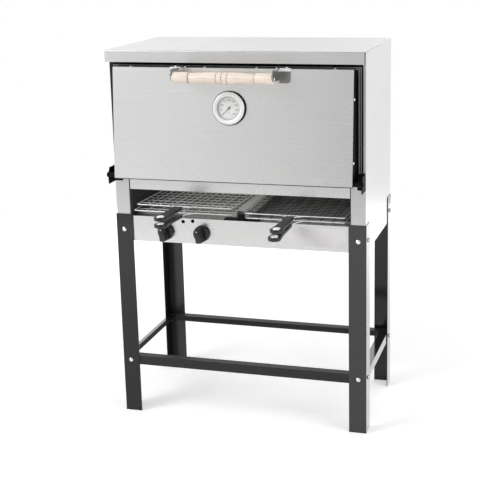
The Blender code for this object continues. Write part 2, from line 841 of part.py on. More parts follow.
def tube(route, radius, sides=pipe_sides):
    """Sweep a circle along a route and close its ends."""
    solid = bmesh.new()
    rings = []
    side_way = None
    for index, place in enumerate(route):
        ahead = route[min(index + 1, len(route) - 1)]
        behind = route[max(index - 1, 0)]
        way = (ahead - behind).normalized()
        if side_way is None:
            side_way = way.orthogonal().normalized()
        side_way = (side_way - way * side_way.dot(way)).normalized()
        up_way = way.cross(side_way)
        rings.append([solid.verts.new(place + radius * (side_way * cos(2 * pi * turn / sides)
                                                        + up_way * sin(2 * pi * turn / sides)))
                      for turn in range(sides)])
    for ring, following in zip(rings, rings[1:]):
        for turn in range(sides):
            beyond = (turn + 1) % sides
            solid.faces.new((ring[turn], ring[beyond], following[beyond], following[turn]))
    solid.faces.new(rings[0])
    solid.faces.new(rings[-1])
    return solid


def make_gas():
    """Two gas taps on a manifold, its inlet at the back, and a pipe to each burner."""
    collar_start = panel_back_y + touch_gap
    drop_z = valve_height - valve_body_radius - valve_outlet_length
    for name, x, side in (("left", valve_left_x, -1), ("right", valve_right_x, 1)):
        stem_tip = panel_front_y - valve_stem_reach - collar_start
        profile = [(0, stem_tip),
                   (valve_stem_radius, stem_tip),
                   (valve_stem_radius, 0),
                   (valve_collar_radius, 0),
                   (valve_body_radius, valve_body_length / 4),
                   (valve_body_radius, valve_body_length - touch_gap),
                   (0, valve_body_length - touch_gap)]
        body = turned(profile, (x, collar_start, valve_height), (0, 1, 0), round_sides)
        outlet_y = collar_start + valve_body_length * 5 / 8
        outlet = rod((x, outlet_y, valve_height), (0, 0, -1), valve_outlet_radius, 0,
                     valve_body_radius + valve_outlet_length)
        bore = rod((x, outlet_y, valve_height), (0, 0, -1), feed_pipe_radius + hole_clearance,
                   valve_body_radius + valve_outlet_length / 4,
                   valve_body_radius + valve_outlet_length + cut_overrun)
        valve = welded("gas_valve_" + name, body, joined=[outlet], cut=[bore])
        settle(valve, "brass")
        burner_z = deck_height - sheet - touch_gap - sheet - touch_gap - burner_height / 2
        low_z = drop_z - feed_run_drop - feed_pipe_bend / 4
        stop_x = side * (slot_half_width - touch_gap * 3 - feed_pipe_radius)
        points = [(x, outlet_y, drop_z + valve_outlet_length / 2),
                  (x, outlet_y, low_z),
                  (x, feed_riser_y, low_z),
                  (side * feed_riser_x, feed_riser_y, low_z),
                  (side * feed_riser_x, feed_riser_y, burner_z),
                  (stop_x, feed_riser_y, burner_z)]
        bend = (drop_z - low_z) * 7 / 8
        route = rounded_route(points[:3], bend)[:-1] + rounded_route(points[1:], feed_pipe_bend)[1:]
        pipe = linked_object("feed_pipe_" + name, tube(route, feed_pipe_radius))
        settle(pipe, "brass", smooth=True)

    start = (valve_left_x - manifold_overreach, manifold_y, valve_height)
    corner = (inlet_x, manifold_y, valve_height)
    wall_end = (inlet_x, housing_y + touch_gap, valve_height)
    pipe = tube(rounded_route([start, corner, wall_end], manifold_bend), manifold_radius)
    nut = rod(wall_end, (0, 1, 0), inlet_nut_radius, -weld_overlap + touch_gap,
              inlet_nut_length, coarse_sides // 2)
    ridge = nipple_length / 4
    barb = [(0, inlet_nut_length - weld_overlap), (nipple_radius * 3 / 4, inlet_nut_length
                                                   - weld_overlap)]
    for step in range(3):
        base = inlet_nut_length + ridge / 2 + step * ridge
        barb += [(nipple_radius * 3 / 4, base), (nipple_radius, base),
                 (nipple_radius * 3 / 4, base + ridge - weld_overlap)]
    tip = inlet_nut_length + nipple_length
    barb += [(nipple_radius, tip - ridge / 2), (nipple_radius, tip), (0, tip)]
    nipple = turned(barb, wall_end, (0, 1, 0), round_sides)
    bore = rod(wall_end, (0, 1, 0), nipple_bore_radius, tip - nipple_bore_depth,
               tip + cut_overrun)
    settle(welded("gas_manifold", pipe, joined=[nut, nipple], cut=[bore]), "brass", smooth=True)


# Knobs
def make_knobs():
    """Black knobs: a round skirt and a tapering grip bar across it."""
    for name, x in (("left", valve_left_x), ("right", valve_right_x)):
        pivot("knob_pivot_" + name, (x, knob_back_y, valve_height), "oven_origin",
              turn=(0, knob_rest_turn, 0))
        skirt_depth = knob_skirt
        profile = [(0, 0), (knob_radius, 0), (knob_radius, skirt_depth * 3 / 4),
                   (knob_radius - skirt_depth / 4, skirt_depth), (0, skirt_depth)]
        centre = (x, knob_back_y, valve_height)
        skirt = turned(profile, centre, (0, -1, 0), round_sides)
        reach = knob_radius - knob_bar_inset
        arc = 2 * asin(knob_bar_half_width / reach)
        ends = 6
        half_arc = [(reach * sin(arc * (step / ends - 0.5)),
                     reach * cos(arc * (step / ends - 0.5))) for step in range(ends + 1)]
        outline = half_arc + [(-a, -b) for a, b in half_arc]
        bar = bmesh.new()
        back = [bar.verts.new((x + a, knob_back_y - skirt_depth / 2, valve_height + b))
                for a, b in outline]
        share = knob_bar_taper_share
        front = [bar.verts.new((x + a * share, knob_front_y, valve_height + b * share))
                 for a, b in outline]
        bar.faces.new(back)
        bar.faces.new(front)
        for step in range(len(outline)):
            beyond = (step + 1) % len(outline)
            bar.faces.new((back[step], back[beyond], front[beyond], front[step]))
        bore = rod(centre, (0, -1, 0), valve_stem_radius + hole_clearance, -cut_overrun,
                   knob_bore_depth + touch_gap)
        knob = welded("knob_" + name, skirt, joined=[bar], cut=[bore])
        settle(knob, "black_plastic", on="knob_pivot_" + name)


# Wire baskets
def wire_leaf(side, outer_x, bottom, thickness):
    """Flat welded grid: a border round rows of open cells."""
    low_x, high_x = sorted((side * basket_inner_x, side * outer_x))
    back_y = basket_hinge_y - basket_hinge_reach
    border = basket_wire - grid_wire / 2
    width = high_x - low_x - 2 * border
    depth = back_y - basket_front_y - 2 * border
    leaf = bmesh.new()
    bmesh.ops.create_grid(leaf, x_segments=basket_cells_across, y_segments=basket_cells_deep,
                          size=1)
    bmesh.ops.scale(leaf, vec=(width / 2, depth / 2, 1), verts=leaf.verts)
    cells = list(leaf.faces)
    bmesh.ops.inset_individual(leaf, faces=cells, thickness=grid_wire / 2)
    bmesh.ops.delete(leaf, geom=cells, context="FACES")
    rim = [edge for edge in leaf.edges if edge.is_boundary
           and all(abs(abs(vert.co.x) - width / 2) < merge_distance
                   or abs(abs(vert.co.y) - depth / 2) < merge_distance for vert in edge.verts)]
    grown = bmesh.ops.extrude_edge_only(leaf, edges=rim)
    for vert in (item for item in grown["geom"] if isinstance(item, bmesh.types.BMVert)):
        if abs(abs(vert.co.x) - width / 2) < merge_distance:
            vert.co.x += border if vert.co.x > 0 else -border
        if abs(abs(vert.co.y) - depth / 2) < merge_distance:
            vert.co.y += border if vert.co.y > 0 else -border
    upper = bmesh.ops.extrude_face_region(leaf, geom=list(leaf.faces))
    moved = [item for item in upper["geom"] if isinstance(item, bmesh.types.BMVert)]
    bmesh.ops.translate(leaf, verts=moved, vec=(0, 0, thickness))
    middle = ((low_x + high_x) / 2, (back_y + basket_front_y) / 2, bottom)
    bmesh.ops.translate(leaf, verts=leaf.verts, vec=middle)
    return leaf


def grip_outline(x):
    """Bar that widens into a round end, as (x, y) points, root first."""
    root_y = basket_front_y - grip_start
    end_y = root_y - grip_length
    half = grip_width / 2
    body = half * grip_body_share
    neck_y = end_y + half * grip_neck_share
    steps = 14
    turns = [(pi + 2 * grip_disc_sweep) * step / steps - grip_disc_sweep
             for step in range(steps + 1)]
    arc = [(x + half * cos(turn), end_y + half - half * sin(turn)) for turn in turns]
    return [(x - body, root_y), (x + body, root_y), (x + body, neck_y)] + arc + [(x - body, neck_y)]


def make_grip(name, x, middle_z, on, rise=0):
    """Moulded grip with rounded edges, a hanging hole and a slot for the basket's tang."""
    outline = grip_outline(x)
    body = along_z(outline, middle_z - grip_thickness / 2, middle_z + grip_thickness / 2)
    rims = [edge for edge in body.edges if abs(edge.verts[0].co.z - edge.verts[1].co.z)
            < merge_distance]
    bmesh.ops.bevel(body, geom=rims, offset=grip_edge, offset_type="OFFSET", segments=2,
                    profile=round_profile_share, affect="EDGES", material=-1)
    end_y = basket_front_y - grip_start - grip_length
    hole_y = end_y + grip_hole_from_end
    steps = 16
    oval = [(x + grip_hole_width / 2 * cos(2 * pi * step / steps),
             hole_y + grip_hole_length / 2 * sin(2 * pi * step / steps))
            for step in range(steps)]
    hole = along_z(oval, middle_z - grip_thickness, middle_z + grip_thickness)
    root_y = basket_front_y - grip_start
    for part in (body, hole):
        for vert in part.verts:
            vert.co.z += rise * (root_y - vert.co.y) / grip_length
    slot_z = middle_z
    slot = block((x - tang_width / 2 - touch_gap, root_y + cut_overrun,
                  slot_z - tang_thickness / 2 - touch_gap),
                 (x + tang_width / 2 + touch_gap,
                  basket_front_y - tang_reach - touch_gap,
                  slot_z + tang_thickness / 2 + touch_gap))
    settle(welded(name, body, cut=[hole, slot]), "black_plastic", on=on, smooth=True)


def tang(x, leaf_bottom, grip_z):
    """Flat tongue from the basket's front wire into the grip."""
    bend_y = basket_front_y - grip_start + grip_start / 4
    low = grip_z - tang_thickness / 2
    high = grip_z + tang_thickness / 2
    outline = [(basket_front_y + basket_wire / 2, leaf_bottom + weld_overlap),
               (bend_y, low), (basket_front_y - tang_reach, low),
               (basket_front_y - tang_reach, high), (bend_y, high),
               (basket_front_y + basket_wire / 2, leaf_bottom + basket_wire - weld_overlap)]
    return along_x(outline, x - tang_width / 2, x + tang_width / 2)


def make_baskets():
    """Two double-leaf baskets: the upper leaf turns on the lower one's back corners."""
    for side in (-1, 1):
        name = side_names[side]
        tilt = -basket_left_tilt if side < 0 else 0
        lid_tilt = -basket_left_lid_tilt if side < 0 else 0
        hinge = (0, basket_hinge_y, basket_hinge_z)
        pivot("basket_pivot_" + name, hinge, "oven_origin", turn=(tilt, 0, 0))
        pivot("basket_lid_pivot_" + name, hinge, "basket_pivot_" + name, turn=(lid_tilt, 0, 0))
        lower_x = grip_left_x if side < 0 else grip_right_lower_x
        upper_x = grip_left_x if side < 0 else grip_right_upper_x
        lower_outer_x = basket_left_lower_outer_x if side < 0 else basket_outer_x
        lift, rise = (grip_left_lower_lift, grip_left_lower_rise) if side < 0 else (0, 0)
        lower_grip_z = basket_bottom + basket_wire / 2 - grip_drop + lift
        upper_grip_z = lid_bottom + basket_wire / 2
        lower = wire_leaf(side, lower_outer_x, basket_bottom, basket_wire)
        upper = wire_leaf(side, basket_outer_x, lid_bottom, basket_wire)
        joined_lower = [tang(lower_x, basket_bottom, lower_grip_z)]
        joined_upper = [tang(upper_x, lid_bottom, upper_grip_z)]
        cuts = []
        edge_y = basket_hinge_y - basket_hinge_reach - basket_wire / 2
        lug_front = basket_hinge_y - basket_hinge_reach + hole_clearance * 2
        lug_back = basket_hinge_y + basket_hinge_reach
        for lug_x in (basket_inner_x + basket_wire * 4, basket_outer_x - basket_wire * 4):
            near = side * lug_x
            far = near + side * basket_hinge_lug
            arm_near = far + side * hole_clearance * 2
            arm_far = arm_near + side * basket_hinge_lug
            lug = [(edge_y, basket_bottom), (lug_back, basket_bottom),
                   (lug_back, basket_hinge_z + basket_wire),
                   (lug_front, basket_hinge_z + basket_wire),
                   (lug_front, basket_bottom + basket_wire), (edge_y, basket_bottom + basket_wire)]
            joined_lower.append(along_x(lug, near, far))
            cuts.append(rod((near, basket_hinge_y, basket_hinge_z), (side, 0, 0),
                            basket_hinge_pin_radius + hole_clearance, -cut_overrun,
                            basket_hinge_lug + cut_overrun))
            arm = [(edge_y, lid_bottom + weld_overlap), (edge_y, lid_bottom + basket_wire),
                   (lug_back, lid_bottom + basket_wire),
                   (lug_back, basket_hinge_z - basket_wire),
                   (lug_front, basket_hinge_z - basket_wire),
                   (lug_front, lid_bottom + weld_overlap)]
            joined_upper.append(along_x(arm, arm_near, arm_far))
            joined_upper.append(rod((near, basket_hinge_y, basket_hinge_z), (side, 0, 0),
                                    basket_hinge_pin_radius, -hole_clearance,
                                    basket_hinge_lug * 3 / 2))
        lower_leaf = welded("basket_%s_lower" % name, lower, joined=joined_lower, cut=cuts)
        settle(lower_leaf, "zinc", on="basket_pivot_" + name)
        upper_leaf = welded("basket_%s_upper" % name, upper, joined=joined_upper)
        settle(upper_leaf, "zinc", on="basket_lid_pivot_" + name)
        make_grip("grip_%s_lower" % name, lower_x, lower_grip_z, "basket_pivot_" + name, rise)
        make_grip("grip_%s_upper" % name, upper_x, upper_grip_z, "basket_lid_pivot_" + name)


# Door, drawn in its face's frame: x across, +y into the door, z up the sloping face
def door_bottom_at(depth):
    """Height of the door's level bottom at a depth behind its face."""
    return door_bottom_rise * depth / door_depth_bottom


def door_back_at(rise):
    """Depth of the door's upright back at a height up its face."""
    return door_depth_bottom + (door_depth_top - door_depth_bottom) * rise / door_slope_height


def door_wedge(front, inset_back, inset_bottom, inset_top):
    """Side outline of the door between a depth and its back, drawn in from its walls."""
    top = door_slope_height - inset_top
    low_front = (front, door_bottom_at(front) + inset_bottom)
    back_depth = door_depth_bottom - inset_back
    low_back = (back_depth, door_bottom_at(back_depth) + inset_bottom)
    high_back = (door_back_at(top) - inset_back, top)
    return [low_front, low_back, high_back, (front, top)]


def door_top_screws():
    """Axes of the screws along the door's top edge."""
    xs = (door_screw_inner_x, door_screw_middle_x, door_screw_bracket_x, door_screw_outer_x)
    return [((side * x, door_screw_setback, door_slope_height), (0, 0, -1))
            for side in (-1, 1) for x in xs]


def door_side_screws():
    """Axes of the screws in the door's side walls."""
    return [((side * door_half_width, door_screw_setback, rise), (-side, 0, 0))
            for side in (-1, 1) for rise in (door_side_screw_low, door_side_screw_high)]


def hinge_point_on_face():
    """Hinge axis in the face's frame, as (depth, rise)."""
    across = hinge_y - door_front_bottom_y
    up = hinge_z - door_bottom
    return across * face_cos - up * face_sin, across * face_sin + up * face_cos


def make_door():
    """Stainless front, black pan behind it and ceramic wool inside."""
    pivot("door_pivot", (0, hinge_y, hinge_z), "oven_origin")
    pivot("door_face", (0, door_front_bottom_y, door_bottom), "door_pivot",
          turn=(-door_lean, 0, 0), local=True)
    screw_radius = screw_shank_radius + hole_clearance
    screw_cuts = [rod(place, way, screw_radius, -cut_overrun, screw_length + cut_overrun)
                  for place, way in door_top_screws() + door_side_screws()]
    probe_hole = rod((0, 0, dial_rise), (0, 1, 0), probe_radius + hole_clearance, -cut_overrun,
                     door_depth_bottom + cut_overrun)
    screws = []
    for place, way in door_top_screws() + door_side_screws():
        on_bracket = abs(place[0]) > handle_half_length and abs(place[0]) < door_screw_outer_x
        lift = handle_bracket_sheet + touch_gap * 2 if on_bracket else touch_gap
        profile = [(0, -lift - screw_head_height),
                   (screw_head_radius / 2, -lift - screw_head_height),
                   (screw_head_radius, -lift - screw_head_height / 3),
                   (screw_head_radius, -lift),
                   (screw_shank_radius, -lift),
                   (screw_shank_radius, screw_length),
                   (0, screw_length)]
        screws.append(turned(profile, place, way, screw_sides))

    wall = sheet
    slab = block((-door_half_width, 0, 0), (door_half_width, sheet, door_slope_height))
    fold_top = door_slope_height - wall - touch_gap
    fold_x = door_half_width - wall - touch_gap
    top_fold = block((-fold_x, sheet - weld_overlap, fold_top - sheet),
                     (fold_x, sheet + door_flange, fold_top))
    depth, rise = hinge_point_on_face()
    fold_low = rise + nut_radius + door_nut_clearance
    side_folds = [block((side * fold_x, sheet - weld_overlap, fold_low),
                        (side * (fold_x - sheet), sheet + door_flange, fold_top))
                  for side in (-1, 1)]
    panel_hole = rod((0, 0, dial_rise), (0, 1, 0), probe_radius + hole_clearance, -cut_overrun,
                     cut_overrun)
    panel = welded("door_panel", slab, joined=[top_fold] + side_folds + screws,
                   cut=[panel_hole], solver="MANIFOLD")
    settle(panel, "stainless", on="door_face")

    front = sheet + touch_gap
    outer = along_x(door_wedge(front, 0, 0, 0), -door_half_width, door_half_width)
    inner_wedge = door_wedge(front - cut_overrun, wall, wall, wall)
    inner = along_x(inner_wedge, -door_half_width + wall, door_half_width - wall)
    pin_hole = rod((0, depth, rise), (1, 0, 0), bolt_hole_radius, -door_half_width - cut_overrun,
                   door_half_width + cut_overrun)
    pan = welded("door_pan", outer, cut=[inner, probe_hole, pin_hole] + screw_cuts)
    settle(pan, "black_enamel", on="door_face")

    wool_front = sheet + door_flange + touch_gap
    wool_half = door_half_width - wool_side_gap
    wool_outline = door_wedge(wool_front, wall + touch_gap, wall + touch_gap,
                              wall * 2 + touch_gap * 2)
    wool_hole = rod((0, 0, dial_rise), (0, 1, 0), probe_radius + hole_clearance, -cut_overrun,
                    door_depth_bottom + cut_overrun)
    wool = welded("door_wool", along_x(wool_outline, -wool_half, wool_half), cut=[wool_hole])
    settle(wool, "ceramic_wool", on="door_face")


def make_handle_brackets():
    """Folded stainless brackets: a plate on the face, a tab over the top and a long ear."""
    plate_front = -touch_gap - handle_bracket_sheet
    top = door_slope_height + touch_gap
    for side in (-1, 1):
        near = side * (handle_half_length + touch_gap)
        far = near + side * handle_plate_width
        plate_bottom = door_slope_height - handle_plate_height
        corner = handle_plate_corner
        plate = along_y([(near, plate_bottom),
                         (far - side * corner, plate_bottom),
                         (far - side * corner * 3 / 10, plate_bottom + corner * 3 / 10),
                         (far, plate_bottom + corner),
                         (far, top + handle_bracket_sheet),
                         (near, top + handle_bracket_sheet)], plate_front, -touch_gap)
        tab = block((near, plate_front, top),
                    (far, handle_tab_depth, top + handle_bracket_sheet))
        ear_bottom = door_slope_height - handle_ear_height
        nose = handle_ear_height / 2
        steps = 8
        reach = -touch_gap - handle_ear_reach
        arc = [(reach + nose - nose * sin(pi * step / steps),
                door_slope_height - nose + nose * cos(pi * step / steps))
               for step in range(steps + 1)]
        ear = along_x(arc + [(-touch_gap, ear_bottom), (-touch_gap, door_slope_height)],
                      near, near + side * handle_ear_sheet)
        hole = rod((near, -handle_standoff, handle_rise), (side, 0, 0),
                   handle_screw_radius + hole_clearance, -cut_overrun, cut_overrun)
        screw_hole = rod((side * door_screw_bracket_x, door_screw_setback, door_slope_height),
                         (0, 0, 1), screw_shank_radius + hole_clearance, -cut_overrun,
                         cut_overrun)
        bracket = welded("handle_bracket_" + side_names[side], plate, joined=[tab, ear],
                         cut=[hole, screw_hole])
        settle(bracket, "stainless", on="door_face")


def make_handle():
    """Turned wooden grip, held by a screw through each ear."""
    half = handle_half_length
    bead = handle_bead_width
    sides = []
    for side, end_width in ((-1, handle_left_end_width), (1, handle_right_end_width)):
        body_end = half - end_width
        middle = side * handle_bead_shift
        sides.append([(radius, side * place) for radius, place in (
            (handle_bead_radius, middle + bead / 4),
            (handle_bead_radius, middle + bead * 3 / 4),
            (handle_groove_radius, middle + bead),
            (handle_radius, middle + bead + handle_shoulder),
            (handle_radius, (bead * 2 + body_end) / 3),
            (handle_waist_radius, body_end - handle_shoulder),
            (handle_waist_radius, body_end),
            (handle_end_radius, body_end + handle_shoulder / 2),
            (handle_end_radius, half - handle_shoulder / 2),
            (handle_end_radius - handle_shoulder / 2, half))])
    left, right = sides
    groove = [(handle_groove_radius, handle_bead_shift)]
    profile = [(0, -half)] + left[::-1] + groove + right + [(0, half)]
    centre = (0, -handle_standoff, handle_rise)
    pilot_depth = handle_screw_length + cut_overrun / 4
    pilots = [rod(centre, (side, 0, 0), handle_screw_radius + hole_clearance,
                  half - pilot_depth, half + cut_overrun) for side in (-1, 1)]
    wood = welded("wooden_handle", turned(profile, centre, (1, 0, 0), round_sides), cut=pilots,
                  solver="MANIFOLD")
    settle(wood, "pine", on="door_face", smooth=True)
    for side in (-1, 1):
        seat = half + handle_ear_sheet + touch_gap * 2
        outline = [(0, seat + handle_screw_head_height),
                   (handle_screw_head_radius * 2 / 3, seat + handle_screw_head_height),
                   (handle_screw_head_radius, seat + handle_screw_head_height / 3),
                   (handle_screw_head_radius, seat),
                   (handle_screw_radius, seat),
                   (handle_screw_radius, half - handle_screw_length),
                   (0, half - handle_screw_length)]
        screw = linked_object("handle_screw_" + side_names[side],
                              turned(outline, centre, (side, 0, 0), coarse_sides))
        settle(screw, "zinc", on="door_face")


def make_thermometer():
    """Round dial thermometer: case with probe, dial, needle and glass."""
    centre = (0, 0, dial_rise)
    out = (0, -1, 0)
    front = touch_gap + bezel_depth
    recess_floor = front - dial_recess
    profile = [(0, -probe_length), (probe_radius, -probe_length), (probe_radius, touch_gap),
               (bezel_radius - bezel_chamfer, touch_gap), (bezel_radius, touch_gap
                                                           + bezel_chamfer),
               (bezel_radius, touch_gap + bezel_back_depth),
               (bezel_radius - bezel_chamfer, front), (window_radius, front),
               (window_radius, recess_floor), (0, recess_floor)]
    case = linked_object("thermometer_case", turned(profile, centre, out, fine_sides))
    settle(case, "stainless", on="door_face", smooth=True)
    disc_radius = window_radius - dial_clearance
    dial_back = recess_floor + dial_clearance
    dial = linked_object("thermometer_dial", rod(centre, out, disc_radius, dial_back,
                                                 dial_back + dial_thickness, fine_sides))
    settle(dial, "dial_white", on="door_face")
    glass_front = front - glass_setback
    glass = linked_object("thermometer_glass", rod(centre, out, disc_radius,
                                                   glass_front - glass_thickness, glass_front,
                                                   fine_sides))
    settle(glass, "clear_glass", on="door_face")

    needle_back = dial_back + dial_thickness + dial_clearance
    dial_middle_y = door_front_bottom_y + dial_rise * face_sin
    dial_middle_z = door_bottom + dial_rise * face_cos
    pivot("needle_pivot", (0, dial_middle_y, dial_middle_z), "door_pivot",
          turn=(-door_lean, 0, 0), local=True)
    blade = [(-needle_tail, -needle_half_width), (-needle_tail, needle_half_width),
             (0, needle_half_width), (needle_length, needle_half_width / 4),
             (needle_length, -needle_half_width / 4), (0, -needle_half_width)]
    pointed = [(a * cos(needle_rest_angle) - b * sin(needle_rest_angle),
                a * sin(needle_rest_angle) + b * cos(needle_rest_angle)) for a, b in blade]
    arm = along_y(pointed, -needle_back, -needle_back - needle_thickness)
    hub = rod((0, 0, 0), out, needle_hub_radius, needle_back, needle_back + needle_thickness * 2,
              round_sides)
    needle = welded("thermometer_needle", hub, joined=[arm])
    settle(needle, "needle_black", on="needle_pivot")


def make_hinges():
    """Black ears on the posts, and the shouldered bolts that the door turns on."""
    back = -housing_y - touch_gap
    for side in (-1, 1):
        outer = side * housing_x
        outline = [(back, ear_bottom_z), (back, ear_top_z),
                   (-housing_y - ear_top_reach, ear_top_z),
                   (-housing_y - ear_front_reach, hinge_z),
                   (-housing_y - ear_bottom_reach, ear_bottom_z)]
        plate = along_x(outline, outer, outer - side * ear_steel)
        flange = block((outer, back, ear_bottom_z),
                       (side * (door_half_width + ear_flange_gap), back - ear_steel / 2,
                        ear_top_z))
        hole = rod((outer, hinge_y, hinge_z), (side, 0, 0), bolt_hole_radius, -ear_steel
                   - cut_overrun, cut_overrun)
        ear = welded("hinge_ear_" + side_names[side], plate, joined=[flange], cut=[hole])
        settle(ear, "black_paint")
        nut_start = door_half_width - sheet - touch_gap
        seat = housing_x + touch_gap
        shoulder_start = door_half_width + touch_gap
        shoulder_end = housing_x - ear_steel - touch_gap
        profile = [(0, seat + bolt_head_height),
                   (hinge_head_radius / 2, seat + bolt_head_height),
                   (hinge_head_radius, seat + bolt_head_height / 2),
                   (hinge_head_radius, seat),
                   (bolt_shank_radius, seat),
                   (bolt_shank_radius, shoulder_end),
                   (spacer_radius, shoulder_end),
                   (spacer_radius, shoulder_start),
                   (bolt_shank_radius, shoulder_start),
                   (bolt_shank_radius, nut_start),
                   (nut_radius, nut_start),
                   (nut_radius, nut_start - nut_height),
                   (0, nut_start - nut_height)]
        axis = (0, hinge_y, hinge_z)
        bolt = linked_object("hinge_bolt_" + side_names[side],
                             turned(profile, axis, (side, 0, 0), coarse_sides))
        settle(bolt, "zinc", on="door_pivot")


def build_oven():
    """Build every piece in the order it would be put together."""
    for thing in list(bpy.data.objects):
        bpy.data.objects.remove(thing)
    pivot("oven_origin", (0, origin_shift, 0))
    pivots["oven_origin"] = (pivots["oven_origin"][0], Vector((0, 0, 0)), Vector((0, 0, 0)))
    make_stand()
    make_side_panels()
    make_back_panel()
    make_top_cover()
    make_control_panel()
    make_slot()
    make_deck()
    make_door_frame()
    make_chamber()
    make_burners()
    make_gas()
    make_knobs()
    make_baskets()
    make_door()
    make_hinges()
    make_handle_brackets()
    make_handle()
    make_thermometer()


build_oven()
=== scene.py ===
"""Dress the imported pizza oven: its studio, finishes and fine pieces, section by section."""

import json
from math import cos, pi, radians, sin, tau

import bmesh
import bpy
from mathutils import Matrix, Vector


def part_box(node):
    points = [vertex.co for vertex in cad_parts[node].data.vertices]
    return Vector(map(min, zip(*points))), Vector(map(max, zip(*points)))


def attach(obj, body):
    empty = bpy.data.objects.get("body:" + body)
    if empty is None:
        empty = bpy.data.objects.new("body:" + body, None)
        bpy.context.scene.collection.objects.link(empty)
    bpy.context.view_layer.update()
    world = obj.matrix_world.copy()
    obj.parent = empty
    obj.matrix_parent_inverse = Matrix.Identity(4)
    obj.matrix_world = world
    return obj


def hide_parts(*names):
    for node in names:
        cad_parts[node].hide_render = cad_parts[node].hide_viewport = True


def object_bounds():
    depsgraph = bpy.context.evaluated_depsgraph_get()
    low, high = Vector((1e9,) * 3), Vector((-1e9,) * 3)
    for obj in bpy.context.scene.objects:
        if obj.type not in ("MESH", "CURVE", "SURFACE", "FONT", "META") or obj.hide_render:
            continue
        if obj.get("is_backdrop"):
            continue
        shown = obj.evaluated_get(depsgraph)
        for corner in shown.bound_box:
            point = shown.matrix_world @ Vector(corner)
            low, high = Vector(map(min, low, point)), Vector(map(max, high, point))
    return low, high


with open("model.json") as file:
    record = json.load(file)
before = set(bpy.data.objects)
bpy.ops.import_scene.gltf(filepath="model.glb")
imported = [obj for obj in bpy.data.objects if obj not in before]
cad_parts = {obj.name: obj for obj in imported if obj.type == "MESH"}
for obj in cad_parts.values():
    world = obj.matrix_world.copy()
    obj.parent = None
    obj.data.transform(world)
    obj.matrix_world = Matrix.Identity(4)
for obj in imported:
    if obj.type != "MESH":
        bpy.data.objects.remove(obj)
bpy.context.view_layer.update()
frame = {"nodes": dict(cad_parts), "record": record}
cad_nodes = frame["nodes"]


# Camera
# The photograph was taken from a little right of the oven and above it. Its place is given from
# the middle of the stand's feet, which the legs' boxes tell.
def placed(name, data):
    """Put a new object in the scene and return it."""
    made = bpy.data.objects.new(name, data)
    bpy.context.scene.collection.objects.link(made)
    return made


stand_y = (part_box("leg_front_left")[0].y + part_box("leg_back_left")[1].y) / 2
camera_azimuth = radians(16.0082)
camera_elevation = radians(13.4269)
camera_roll = radians(-1.1584)
camera_distance = 3.0915
camera_aim = Vector((0.0377, stand_y, 0.5928))
camera_back = Vector((sin(camera_azimuth) * cos(camera_elevation),
                      -cos(camera_azimuth) * cos(camera_elevation), sin(camera_elevation)))
level_right = Vector((0, 0, 1)).cross(camera_back).normalized()
level_up = camera_back.cross(level_right)
camera_right = cos(camera_roll) * level_right + sin(camera_roll) * level_up
camera_up = cos(camera_roll) * level_up - sin(camera_roll) * level_right
lens = bpy.data.cameras.new("camera")
lens.sensor_width = 36
lens.lens = 82.19
lens.shift_x = -0.0625
lens.shift_y = -0.0833
camera = placed("camera", lens)
camera.matrix_world = (Matrix.Translation(camera_aim + camera_back * camera_distance)
                       @ Matrix((camera_right, camera_up, camera_back)).transposed().to_4x4())
bpy.context.scene.camera = camera
bpy.context.scene.view_settings.view_transform = "Standard"


# Studio
# A white sweep all round, a pale floor that keeps the oven's shadow, three large soft lamps and a
# weak one under the deck. Metal sees the same white, greyer where the room in front would be.
def node(tree, kind, values=None, **settings):
    """Add one shader node; values are numbers, colours or the sockets that feed it."""
    made = tree.nodes.new("ShaderNode" + kind)
    for name, value in settings.items():
        setattr(made, name, value)
    for name, value in (values or {}).items():
        if isinstance(value, bpy.types.NodeSocket):
            tree.links.new(value, made.inputs[name])
        else:
            made.inputs[name].default_value = value
    return made


def maths(tree, operation, first, second=0.0):
    """Add a Math node and return its result."""
    return node(tree, "Math", {0: first, 1: second}, operation=operation).outputs[0]


def ramp(tree, value, low, high, result_low, result_high):
    """Ease a value from one range into another and return the result."""
    return node(tree, "MapRange", {"Value": value, "From Min": low, "From Max": high,
                                   "To Min": result_low, "To Max": result_high},
                interpolation_type="SMOOTHSTEP").outputs["Result"]


def seen_directly(tree):
    """Return 1 for the camera's rays and for those that gloss and glass send on."""
    path = node(tree, "LightPath")
    shown = maths(tree, "ADD", path.outputs["Is Camera Ray"], path.outputs["Is Glossy Ray"])
    return node(tree, "Math", {0: shown, 1: path.outputs["Is Transmission Ray"]},
                operation="ADD", use_clamp=True).outputs[0]


def finish_of(name, colour, roughness, metallic=0.0, **sockets):
    """Start a material whose plain numbers stand on the shader's own sockets."""
    made = bpy.data.materials.new(name)
    made.use_nodes = True
    shader = made.node_tree.nodes["Principled BSDF"]
    shader.inputs["Base Color"].default_value = (*colour, 1)
    shader.inputs["Roughness"].default_value = roughness
    shader.inputs["Metallic"].default_value = metallic
    for socket, value in sockets.items():
        shader.inputs[socket.replace("_", " ")].default_value = value
    return made


def feed(tree, socket, value):
    """Link a value to a socket of the material's shader."""
    tree.links.new(value, tree.nodes["Principled BSDF"].inputs[socket])


